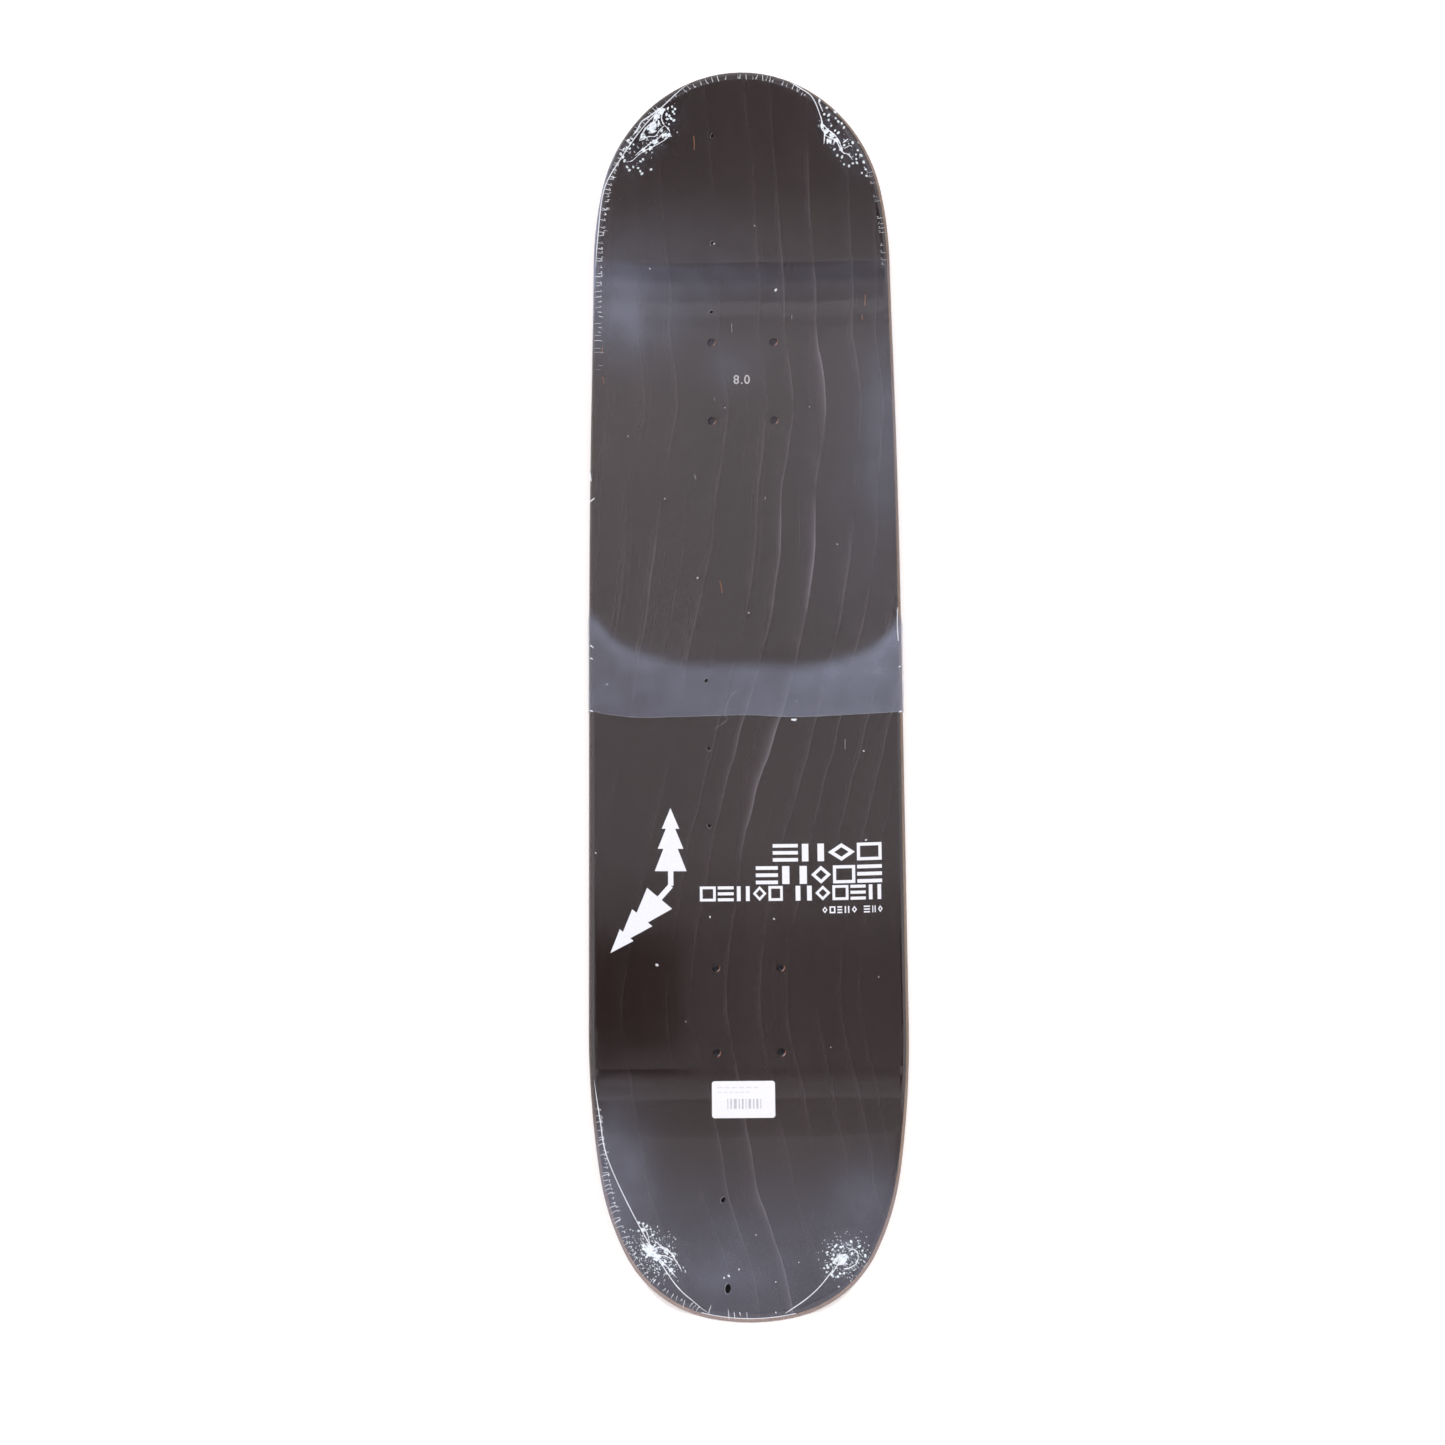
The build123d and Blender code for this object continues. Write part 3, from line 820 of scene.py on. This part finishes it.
class Batch:
    """Gathers many small closed shapes into one mesh."""

    def __init__(self):
        self.vertices, self.faces, self.haze_and_painted_light = [], [], []

    def add(self, points, faces, haze_and_painted_light):
        start = len(self.vertices)
        self.vertices += [tuple(p) for p in points]
        self.faces += [[start + v for v in face] for face in faces]
        self.haze_and_painted_light += [haze_and_painted_light] * len(points)

    def tube(self, points, radii, normals, haze_and_painted_light):
        """A tapered strand along points, flattened against the surface."""
        radii = np.broadcast_to(radii, len(points))[:, None]
        tangent = np.gradient(points, axis=0)
        tangent /= np.linalg.norm(tangent, axis=1, keepdims=True) + 1e-12
        across = np.cross(tangent, normals)
        across /= np.linalg.norm(across, axis=1, keepdims=True) + 1e-12
        lifted = np.cross(across, tangent)
        ring = []
        for k in range(STRAND_SIDES):
            angle = 2 * math.pi * k / STRAND_SIDES
            ring.append(points + (across * math.cos(angle) + lifted * math.sin(angle) * STRAND_FLAT) * radii)
        faces = grid_faces(len(points), STRAND_SIDES, flip=True)
        faces.append(list(range(STRAND_SIDES)))
        faces.append([len(points) * STRAND_SIDES - 1 - k for k in range(STRAND_SIDES)])
        self.add(np.stack(ring, 1).reshape(-1, 3), faces, haze_and_painted_light)

    def strand(self, path, radius, haze_and_painted_light, lift=LIFT, wobble=0.25, rng=None):
        """A strand on the riding face, tapered at both ends; its path, radius and lift in metres."""
        rng = rng or np.random.RandomState(1)
        t = np.linspace(0, 1, len(path))
        taper = np.clip(np.minimum(t, 1 - t) * 9, 0.15, 1)
        radii = radius * taper * (1 + wobble * (rng.rand(len(path)) - 0.5))
        self.tube(on_face(*path.T, lift), radii, normal(*path.T), haze_and_painted_light)

    def blister(self, x, y, radius, tall, lift, haze_and_painted_light, stretch=1.0, turn=0.0):
        """A low dome on the riding face; its place and size in millimetres, its lift in metres."""
        share, up = np.array([ring for ring in DOME_RINGS for _ in range(DOME_SIDES)] + [(0.0, 1.0)]).T
        angle = 2 * math.pi * np.arange(len(share)) / DOME_SIDES
        u, v = rotated(share * radius * stretch * np.cos(angle), share * radius * np.sin(angle), turn)
        points = on_face((x + u) * MM, (y + v) * MM, lift + tall * MM * up)
        last = (len(DOME_RINGS) - 1) * DOME_SIDES
        faces = [list(range(DOME_SIDES))[::-1], *grid_faces(len(DOME_RINGS), DOME_SIDES)]
        faces += [[last + k, last + (k + 1) % DOME_SIDES, last + DOME_SIDES] for k in range(DOME_SIDES)]
        self.add(points, faces, haze_and_painted_light)

    def build(self, name, material, slot="shrink_film"):
        gloss = np.ones(len(self.vertices))
        return add_mesh(name, self.vertices, self.faces, material, self.haze_and_painted_light, gloss)


def smooth_path(knots, step):
    """Catmull-Rom line through plan points in millimetres, as points in metres about a step apart."""
    p = np.array([knots[0], *knots, knots[-1]], float) * MM
    out = []
    for a, b, c, d in zip(p, p[1:], p[2:], p[3:]):
        count = max(2, int(np.linalg.norm(c - b) / step))
        t = np.linspace(0, 1, count, endpoint=False)[:, None]
        square, cube = 2 * a - 5 * b + 4 * c - d, 3 * b - a - 3 * c + d
        out.append(0.5 * (2 * b + (c - a) * t + square * t ** 2 + cube * t ** 3))
    return np.vstack(out + [p[-2:-1]])


def short_path(x, y, length, lean, bow=0.0):
    """A short line in plan millimetres, leaning by an angle, with its middle moved by bow."""
    dx, dy = math.cos(lean) * length / 2, math.sin(lean) * length / 2
    return smooth_path(((x - dx, y - dy), (x + bow, y), (x + dx, y + dy)), 0.7 * MM)


# Sealed seams of the film, each through a few plan points in millimetres
SEAMS = (
    (
        (-97, 283), (-95.1, 303.6), (-90.7, 331.8), (-79.9, 351), (-63.2, 373.3), (-41.2, 394.1),
        (-33, 399.5),
    ),
    ((33, 399.5), (39.4, 395.9), (47.3, 390.1), (52.5, 378.9), (55.7, 366.4)),
    (
        (-98, -251.9), (-94.1, -277), (-88.8, -302.1), (-70.4, -340.5), (-48.7, -375.8), (-34.6, -389.6),
        (-24.2, -397.4),
    ),
    ((50.3, -370.5), (42, -380.5), (32.8, -388.4), (20.4, -396.4)),
)
seams = Batch()
for knots in SEAMS:
    seams.strand(smooth_path(knots, 1.2 * MM), 0.33 * MM, 1.0, rng=np.random.RandomState(len(knots)))
seams.build("film_seams", CREASE_AND_GLINT)

RIM_POINTS, RIM_OUTS = outline(2000)[:2]


def rim_gap(x, y):
    """How far plan points, in metres, lie inside the rim."""
    away = np.hypot(RIM_POINTS[:, 0] - x, RIM_POINTS[:, 1] - y)
    k = int(away.argmin())
    return float((RIM_POINTS[k] - (x, y)) @ RIM_OUTS[k])


# Gathered corners: creases and puckers in the middle, with blisters of trapped air round them; their white is
# partly whitened film and partly painted glints
rng = np.random.RandomState(7)


def gather_creases(gather):
    """All creases of one gathered corner."""
    creases = Batch()
    for knots in gather["creases"]:
        radius = (0.28 + 0.18 * rng.rand()) * MM
        creases.strand(smooth_path(knots, 0.7 * MM), radius, 1.0, LIFT + 0.12 * MM, 0.8, rng)
    return creases


def add_pucker(blisters, x, y, radius, turn):
    """Many small domes heaped into one puckered patch, in plan millimetres."""
    for _ in range(int(8 + 5 * radius)):
        reach, angle = radius * math.sqrt(rng.rand()), rng.rand() * 2 * math.pi
        size = radius * (0.12 + 0.16 * rng.rand()) + 0.12
        haze_and_painted_light, stretch = 0.55 + 0.45 * rng.rand(), 1.3 + 1.4 * rng.rand()
        lean = math.radians(turn) + 1.5 * (rng.rand() - 0.5)
        px, py = x + reach * math.cos(angle), y + reach * math.sin(angle)
        blisters.blister(px, py, size, size * 0.5, LIFT, haze_and_painted_light, stretch, lean)


def blister_spots(gather):
    """Places and sizes of the larger blisters and of the small ones strewn among them."""
    (cx, cy), (length, width) = gather["middle"], gather["reach"]
    spots = [(x, y, 0.62 + 0.25 * rng.rand()) for x, y in gather["blisters"]]
    while len(spots) < gather["small"] + len(gather["blisters"]):
        u, v = rng.randn(2) * (0.55, 0.6)
        x, y = rotated(u * length, v * width, math.radians(gather["turn"]))
        x, y = x + cx, y + cy
        if u * u + v * v < 2.2 and rim_gap(x * MM, y * MM) > 1.8 * MM:
            spots.append((x, y, 0.2 + 0.32 * rng.rand() ** 2))
    return spots


for label, gather in GATHERS.items():
    gather_creases(gather).build("film_creases_" + label, CREASE_AND_GLINT)
    blisters = Batch()
    for x, y, radius in gather["puckers"]:
        add_pucker(blisters, x, y, radius, gather["turn"])
    for x, y, size in blister_spots(gather):
        haze_and_painted_light = 1.0 if size > 0.6 else 0.3 + 0.6 * rng.rand()
        blisters.blister(x, y, size, size * 0.7, LIFT, haze_and_painted_light, 1 + 0.7 * rng.rand(), rng.rand() * math.pi)
    blisters.build("film_blisters_" + label, WHITENED_AND_GLINT_FILM)


def rim_path(point, out, start, inward):
    """Points from a share of the way round the top edge to some way in over the face, with their normals."""
    point, out = point[None], out[None]
    centre, face, wall = rim_frame(point, out, True)
    edge = np.vstack([turn_between(wall, face, share) for share in np.linspace(start, 1, 5)])
    steps = np.linspace(0, inward, 5)[1:]
    plan = point - out * (ROUND + steps[:, None])
    flat = np.column_stack([plan, height(*plan.T)])
    normals = np.vstack([edge, normal(*plan.T)])
    return np.vstack([centre + edge * ROUND, flat]) + normals * (LIFT + 0.05 * MM), normals


def add_rim_wrinkle(wrinkles, point, out, strength):
    """A short wrinkle across the rounded rim, skewed a little where the rim is strongly wrinkled, white as a
    painted glint.
    """
    skew = (rng.rand() - 0.5) * 0.5
    lean = np.array([out[0] - skew * out[1], out[1] + skew * out[0]])
    lean = out if strength < 0.5 else lean / np.linalg.norm(lean)
    start, inward = 0.35 + 0.45 * rng.rand(), (0.3 + 3.4 * rng.rand() ** 2) * MM
    path, normals = rim_path(point, lean, start, inward)
    t = np.linspace(0, 1, len(path))
    taper = np.clip(np.minimum(t, 1 - t) * 5, 0.2, 1)
    radii = (0.13 + 0.13 * rng.rand()) * (0.6 + 0.5 * strength) * MM * taper
    wrinkles.tube(path, radii, normals, (0.7 + 0.3 * rng.rand()) * (0.3 + 0.7 * strength))


wrinkles = Batch()
place = 0.0
while place < len(RIM_POINTS):
    point, out = RIM_POINTS[int(place)], RIM_OUTS[int(place)]
    strength = float(rim_weights(point[:1], point[1:])[0])
    if rng.rand() < strength:
        add_rim_wrinkle(wrinkles, point, out, strength)
    place += 2.2 + rng.rand() * 2.6
# and the sealed seam where it runs along the tail tip
tip = [k for k, (x, y) in enumerate(RIM_POINTS) if y < 0 and -31 * MM < x < 28 * MM]
tip = [rim_path(RIM_POINTS[k], RIM_OUTS[k], 0.6, 0.0) for k in sorted(tip, key=lambda k: RIM_POINTS[k][0])]
tip_points, tip_normals = (np.array([part[0] for part in parts]) for parts in zip(*tip))
wrinkles.tube(tip_points, 0.26 * MM, tip_normals, 1.0)
wrinkles.build("film_rim_wrinkle_glints", CREASE_AND_GLINT)

# The loose lap: a free edge, an air gap that looks milky and grows lighter towards the right as painted
# light, and a bowed line where the film clings again; both lines run through plan points in millimetres
LAP_EDGE = (
    (-102, -15.4), (-86, -17.2), (-68.6, -18.4), (-36.2, -17.5), (2.7, -16.9), (31.2, -18.4), (67.4, -17.6),
    (102, -17.2),
)
LAP_BOW = (
    (-102, 53), (-90, 38.5), (-81.4, 31.2), (-65.2, 24.3), (-36, 17.9), (-0.2, 16.9), (35.5, 15.9),
    (68.1, 21.7), (87.6, 30.8), (102, 48),
)
# Distances of the rows of lap points from the free edge, and how many points of a row lie on the face
LAP_RISES = np.concatenate([[0, 0.25, 0.6, 1.2], np.arange(2.4, 82, 1.6)]) * MM
LAP_ON_FACE = 95
LAP_THICK = 0.06 * MM


def through(table, x):
    """Place along the deck, in metres, of a smooth line through a table of points."""
    fine = smooth_path(table, 1.0 * MM)
    return np.interp(x, *fine.T)


def lap_side(side, y):
    """Points and directions round the rounded edge on one side of the deck, from its wall to the face."""
    centre, face, wall = rim_frame(np.array([[side * HALF_WIDTH, y]]), np.array([[float(side), 0.0]]), True)
    out = np.vstack([turn_between(wall, face, share) for share in np.linspace(0, 1, 6)])
    return centre + out * ROUND, out


def lap_row(rise):
    """One row of the lap across the deck: its points, the directions off the deck, and its haze with painted
    light.
    """
    left, left_out = lap_side(-1, through(LAP_EDGE, -HALF_WIDTH) + rise)
    right, right_out = lap_side(1, through(LAP_EDGE, HALF_WIDTH) + rise)
    x = np.linspace(left[-1][0], right[-1][0], LAP_ON_FACE + 2)[1:-1]
    y = through(LAP_EDGE, x) + rise
    base = np.vstack([left, on_face(x, y), right[::-1]])
    out = np.vstack([left_out, normal(x, y), right_out[::-1]])
    x, y = base[:, 0], base[:, 1]
    beyond = y - through(LAP_BOW, x)
    loose = 1 - ease(-7 * MM, 6 * MM, beyond)
    # Milky film, lighter towards the right as painted light
    haze_and_painted_light = 0.10 + 0.40 * (x + 95 * MM) + 0.02 * lattice_noise(x / (22 * MM) + 5, y / (9 * MM) + 5, 31)
    haze_and_painted_light = haze_and_painted_light + 0.05 * np.exp(-((beyond + 6 * MM) / (9 * MM)) ** 2) * ease(20 * MM, 90 * MM, np.abs(x))
    waves = 0.6 + 0.5 * lattice_noise(x / (30 * MM) + 2, y / (30 * MM) + 2, 8)
    gap = (0.16 * MM + 0.45 * MM * loose * waves) * ease(-1 * MM, 3 * MM, rise) + 0.1 * MM
    fade = 1 - ease(0.7, 1.0, rise / LAP_RISES[-1])
    lift = LIFT + gap * np.maximum(loose, 0.25) * fade + 0.03 * MM
    return base + out * lift[:, None], out, haze_and_painted_light * loose


def border(rows, columns):
    """The points round the edge of a grid, in order."""
    right = [j * columns + columns - 1 for j in range(1, rows)]
    far = [(rows - 1) * columns + i for i in range(columns - 2, -1, -1)]
    left = [j * columns for j in range(rows - 2, 0, -1)]
    return [*range(columns), *right, *far, *left]


def lap_skin(outer, out, haze_and_painted_light):
    """The lap as a thin closed sheet under its outer points."""
    rows, columns = haze_and_painted_light.shape
    under = rows * columns
    faces = grid_faces(rows, columns, ring=False) + grid_faces(rows, columns, under, flip=True, ring=False)
    edge = border(rows, columns)
    for a, b in zip(edge, edge[1:] + edge[:1]):
        faces.append([b, a, a + under, b + under])
    inner = outer - out * LAP_THICK
    return add_skin("film_lap_skin", outer, inner, faces, haze_and_painted_light, np.zeros(haze_and_painted_light.shape), LAP_FILM)


lap_points, lap_out, lap_haze_and_light = (np.array(part) for part in zip(*[lap_row(rise) for rise in LAP_RISES]))
lap = lap_skin(lap_points, lap_out, lap_haze_and_light)
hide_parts("film_lap")

# The free edge of the lap with a painted bright line, and the tucks and ticks of film on the rails beside it,
# white as painted glints
RAIL_TICKS = (
    (-100.6, 28.5, -98.2, 26.6), (-100.6, 20, -98.6, 19.2), (-100.8, -14.6, -98.6, -15.2),
    (-101, 146, -100, 138), (-100.8, 124.2, -97.8, 127), (100.8, -16.6, 98.6, -17.4), (100.4, 13, 99, 12.2),
)
edge = Batch()
edge.tube(lap_points[0], 0.15 * MM, lap_out[0], 0.22)
for x0, y0, x1, y1 in RAIL_TICKS:
    path = smooth_path(((x0, y0), ((x0 + x1) / 2, (y0 + y1) / 2), (x1, y1)), 0.5 * MM)
    edge.strand(path, 0.4 * MM, 1.0, -0.3 * MM)
tuck = ((99.3, 52), (98.9, 44), (98.9, 37), (99.3, 29))
edge.strand(smooth_path(tuck, 1.0 * MM), 0.38 * MM, 0.8, LIFT - 0.1 * MM)
edge.build("film_lap_edge_glints", CREASE_AND_GLINT)

# How far pieces that sit on the lap lie off the face
ON_LAP = LIFT + 0.85 * MM
# Dust and air specks, as x, y and size in plan millimetres
WHITE_SPECKS = (
    (22.5, 270.3, 0.9), (-18.3, 300, 0.6), (-61.1, 284.1, 0.5), (8.7, 311, 0.4), (3.2, -349, 0.4),
    (29.4, -365.8, 0.5), (-7.5, -369.8, 0.6), (-13.8, -373.7, 0.8), (-16.7, -374.8, 0.6), (15, -377.5, 0.5),
    (14.8, -395.7, 0.5), (-30.8, 74.6, 0.6), (2.5, 50.9, 0.4), (-89.8, 2.8, 0.5), (75.9, -41.9, 0.5),
    (16.8, -149.8, 0.7), (-24.1, -148.2, 0.7), (-58.2, -178.9, 1.1), (76.4, -99.9, 0.7), (-97, -107.4, 0.5),
    (44, 190, 0.35), (-52, 128, 0.35), (61, 96, 0.3), (-40, -215, 0.35), (52, -232, 0.3), (-12, 190, 0.3),
    (33, -8, 0.3), (83, -188, 0.35), (-76, 170, 0.35),
)
# A chip of white dust by the lap's edge, as offsets, size and turn of its parts
CHIP = (31.0, -20.4)
CHIP_PARTS = ((-1.0, 0.25, 0.62, 0.3), (0.35, 0.05, 0.85, -0.2), (1.35, 0.2, 0.55, 0.9))
# A curled hair that lies over the lap's edge
HAIR = ((-3.6, 0), (-9, -3.4), (-12.3, -10), (-13.2, -16.5), (-12.2, -20), (-15.6, -23), (-21.6, -26.7))
# Short pale scratches, as x, y and length in plan millimetres and lean in radians
SCRATCHES = (
    (-7, 245, 6.5, 1.6), (-19, 196, 2.5, 1.75), (-32, 143, 4, 1.85), (14, 128, 2, 1.5), (64, -37, 7, 1.55),
    (33, 252, 3, 1.5),
)
specks = Batch()
for x, y, size in WHITE_SPECKS:
    specks.blister(x, y, size * 0.8, 0.2, LIFT, 0.9, 1.0 + 0.7 * rng.rand(), rng.rand() * math.pi)
for dx, dy, size, turn in CHIP_PARTS:
    specks.blister(CHIP[0] + dx, CHIP[1] + dy, size, 0.3, LIFT, 1.0, 1.5, turn)
specks.strand(smooth_path(HAIR, 1.0 * MM), 0.11 * MM, 0.22, ON_LAP)
for scratch in SCRATCHES:
    specks.strand(short_path(*scratch), 0.13 * MM, 0.5)
specks.build("film_specks", CREASE_AND_GLINT)

# Dark walls and floors in the bolt holes as painted shade, bare wood colour on their lit side as painted lit
# rims, and the film that dips into each with a painted glint
BORE_SHADE = maple(
    "bore_painted_shade", (0.030, 0.010, 0.007), (0.055, 0.020, 0.014), (60.0, 60.0, 900.0), (500.0, 500.0, 900.0),
)
PAINTED_LIT_RIM = maple(
    "painted_lit_rim", (0.22, 0.085, 0.055), (0.36, 0.16, 0.11), (200.0, 200.0, 200.0), (900.0, 900.0, 900.0),
)
SLEEVE_SIDES = 28
# Profile of a dark sleeve with a floor, painted shade in the hole, as radius and depth in millimetres
SLEEVE = ((2.74, 0.3), (2.74, 9.0), (0.7, 9.0), (0.7, 8.6), (2.45, 8.6), (2.45, 0.5))


def arc_path(x, y, radius, angles):
    """Part of a circle about plan millimetres, in metres."""
    return np.column_stack([x + radius * np.cos(angles), y + radius * np.sin(angles)]) * MM


def add_sleeve(sleeves, x, y):
    """The dark closed lining of one bolt hole: painted shade."""
    angles = np.linspace(0, 2 * math.pi, SLEEVE_SIDES, endpoint=False)
    rings = []
    for radius, depth in SLEEVE:
        plan = arc_path(x, y, radius, angles)
        rings.append(np.column_stack([plan, height(*plan.T) - depth * MM]))
    sleeves.add(np.vstack(rings), grid_faces(len(SLEEVE), SLEEVE_SIDES, flip=True, loop=True), 0.0)


sleeves, lit_rims, dips_and_glints = Batch(), Batch(), Batch()
# The side of each hole that catches the light, in radians
sunlit = np.linspace(-1.5, 0.5, 14)
for x, y in BOLTS:
    add_sleeve(sleeves, x, y)
    # Bare wood colour only on the side that catches the light: a painted lit rim
    lit_rims.strand(arc_path(x, y, 2.55, sunlit), 0.3 * MM, 0.0, 0.1 * MM)
    # A painted glint where the film dips into the hole
    dips_and_glints.strand(arc_path(x, y, 2.2, sunlit[2:9]), 0.16 * MM, 0.5)
    dips_and_glints.blister(x, y, 2.6, 0.05, -0.2 * MM, 0.0)
sleeves.build("bolt_hole_painted_shade", BORE_SHADE, "stained_veneer")
lit_rims.build("bolt_hole_painted_lit_rims", PAINTED_LIT_RIM, "stained_veneer")
dips_and_glints.build("film_hole_dips_and_glints", CREASE_AND_GLINT)

# Vents in the film, each a near-black disc of painted shade with a pale lip as a painted glint, as x and y in
# plan millimetres, turn in radians and size
VENTS = (
    (-17, -327.4, 1, 1.1), (-14.3, -381.3, 1.45, 1.7), (-25.7, 5.9, 0.9, 0.85), (-24.2, -38.9, 2.2, 0.85),
    (-24.4, -89.4, 2.3, 0.85), (-20.7, 256.1, 0.4, 0.75), (-19.7, 300.5, 0.9, 0.75),
    (-19, 366.9, 1.2, 0.75),
)
vents, lip_glints = Batch(), Batch()
for x, y, turn, size in VENTS:
    lift = ON_LAP if 0 < y < 10 else LIFT + 0.10 * MM
    vents.blister(x, y, size, 0.05, lift, 0.0, 1.7, turn)
    sweep = np.linspace(0, 1.3 * math.pi, 14)
    u, v = rotated(2.0 * size * np.cos(sweep), 1.2 * size * np.sin(sweep), turn)
    lip_glints.strand(np.column_stack([x + u, y + v]) * MM, 0.13 * MM, 0.3, lift)
# Darker than the veneer itself: painted shade
vent_shade = printed("vent_painted_shade", (0.006, 0.005, 0.005), (0.004, 0.003, 0.003), 0.8, glossy=False)
vents.build("film_vents", vent_shade)
lip_glints.build("film_vent_lip_glints", CREASE_AND_GLINT)

# Nicks in the stain that show bare wood, as x, y and length in plan millimetres and lean in radians
NICKS = (
    (-93, 228.2, 6, 1.45), (-92.3, 207.6, 5, 1.7), (81.6, 261.5, 8, 1.5), (-15.5, 68.4, 8.5, 1.75),
    (-31, 362.7, 9, 1.6), (79.5, 250, 4, 1.6),
)
nicks = Batch()
for nick in NICKS:
    nicks.strand(short_path(*nick, bow=0.2), 0.22 * MM, 0.0, 0.16 * MM)
bare_wood = printed("veneer_nick", (0.42, 0.17, 0.07), (0.30, 0.11, 0.045), 0.6)
nicks.build("veneer_nicks", bare_wood, "stained_veneer")


# ---- Floor, card, light, sky and camera ----
# Height of the card above the floor, and the length that ramps along it cover
FLAG_Z = 1.9
FLAG_SPAN = 2.0


def floor_material():
    """Nearly white; it glows faintly, as a light table does, except under the deck."""
    material, tree = new_material("studio_floor")
    tone = ramp(tree, noise(tree, 3.0), ((0.3, 0.955), (0.7, 0.97)))
    reach = []
    for axis, half in (("X", 0.1), ("Y", 0.4)):
        share = math_node(tree, "ABSOLUTE", times(tree, coordinate(tree, axis), 1 / half))
        reach.append(math_node(tree, "POWER", share, 4.0))
    glow = times(tree, math_node(tree, "GREATER_THAN", math_node(tree, "ADD", *reach), 1.0), 0.24)
    inputs = {"Base Color": tone, "Roughness": 0.9, "Specular IOR Level": 0.1}
    inputs.update({"Emission Color": (1, 1, 1, 1), "Emission Strength": glow})
    show(tree, node(tree, "BsdfPrincipled", inputs))
    return material


def flag_material():
    """Grey glass, darkest near its middle and clear at both ends, with a nearly black arm on the right."""
    material, tree = new_material("studio_flag")
    along = math_node(tree, "MULTIPLY_ADD", coordinate(tree, "Y"), 1 / FLAG_SPAN, 0.5)
    passed = ramp(tree, along, (
        (0.24, 0.97), (0.36, 0.72), (0.415, 0.34), (0.46, 0.24), (0.51, 0.24), (0.575, 0.58), (0.65, 0.62),
        (0.695, 0.62), (0.71, 1),
    ))
    arm_x = ramp(tree, coordinate(tree, "X"), ((0.04, 0), (0.20, 1), (0.75, 1)))
    arm_y = ramp(tree, along, ((0.437, 0), (0.455, 1), (0.51, 1), (0.535, 0)))
    passed = mix(tree, times(tree, arm_x, arm_y), passed, (0.02, 0.02, 0.02))
    show(tree, node(tree, "BsdfTransparent", {"Color": passed}))
    return material


def stage_plane(name, left, right, near, far, material):
    """A flat level piece of the studio."""
    data = bpy.data.meshes.new(name)
    corners = [(left, near, 0), (right, near, 0), (right, far, 0), (left, far, 0)]
    data.from_pydata(corners, [], [(0, 1, 2, 3)])
    data.materials.append(material)
    return add_object(name, data)


floor = stage_plane("studio_floor", -6, 6, -6, 6, floor_material())

# A soft grey card above the deck, which the gloss mirrors as a darker band over the tail half
flag = stage_plane("studio_flag", -0.9, 0.9, -0.6, 0.75, flag_material())
flag.location.z = FLAG_Z
flag.visible_camera = False

# A broad soft light just under the card, which lifts the whites but is not mirrored
key_data = bpy.data.lights.new("studio_key", "AREA")
key_data.shape = "RECTANGLE"
key_data.size, key_data.size_y = 2.4, 2.0
key_data.energy = 13.0
key = add_object("studio_key", key_data)
key.location.z = FLAG_Z - 0.02
key.visible_camera = False
key.visible_glossy = False


def studio_sky():
    """A white sky, greyer overhead in bands that lean towards the nose, which the nose bend mirrors."""
    world = bpy.data.worlds.new("studio")
    world.use_nodes = True
    tree = world.node_tree
    tree.nodes.clear()
    y = coordinate(tree, "Y", "Generated")
    across = math_node(tree, "SUBTRACT", 1.0, math_node(tree, "POWER", y, 2.0))
    across = math_node(tree, "POWER", math_node(tree, "MAXIMUM", across, 0.01), 0.5)
    lean = math_node(tree, "DIVIDE", y, across)
    bright = ramp(tree, lean, (
        (0.200, 1), (0.208, 0.78), (0.262, 0.84), (0.30, 0.95), (0.327, 1), (0.350, 0.42), (0.62, 0.46),
        (0.70, 0.56), (0.79, 0.66), (1.0, 1),
    ))
    bright = mix(tree, 1.0, bright, (1.0, 0.975, 1.04), "MULTIPLY")
    overhead = ramp(tree, coordinate(tree, "Z", "Generated"), ((0.45, 0), (0.62, 1)))
    bright = mix(tree, overhead, (1.0, 1.0, 1.0), bright)
    show(tree, node(tree, "Background", {"Color": bright, "Strength": 1.0}), "World")
    return world


bpy.context.scene.world = studio_sky()

# The camera stands over the tail and looks down on the deck, nose up in the picture
CAMERA_PLACE = (-0.0068, -0.3516, 1.8185 + TOP_Z)
camera_data = bpy.data.cameras.new("camera")
camera_data.sensor_width = 36.0
camera_data.lens = 71.0
camera = add_object("camera", camera_data)
right = Vector((0.99995, -0.00757, -0.00598)).normalized()
back = Vector((0.00454, -0.17852, 0.98393)).normalized()
up = back.cross(right).normalized()
turn = Matrix((up.cross(back), up, back)).transposed().to_4x4()
camera.matrix_world = Matrix.Translation(CAMERA_PLACE) @ turn
bpy.context.scene.camera = camera
bpy.context.scene.view_settings.view_transform = "Standard"
bpy.context.scene.cycles.transparent_max_bounces = 24

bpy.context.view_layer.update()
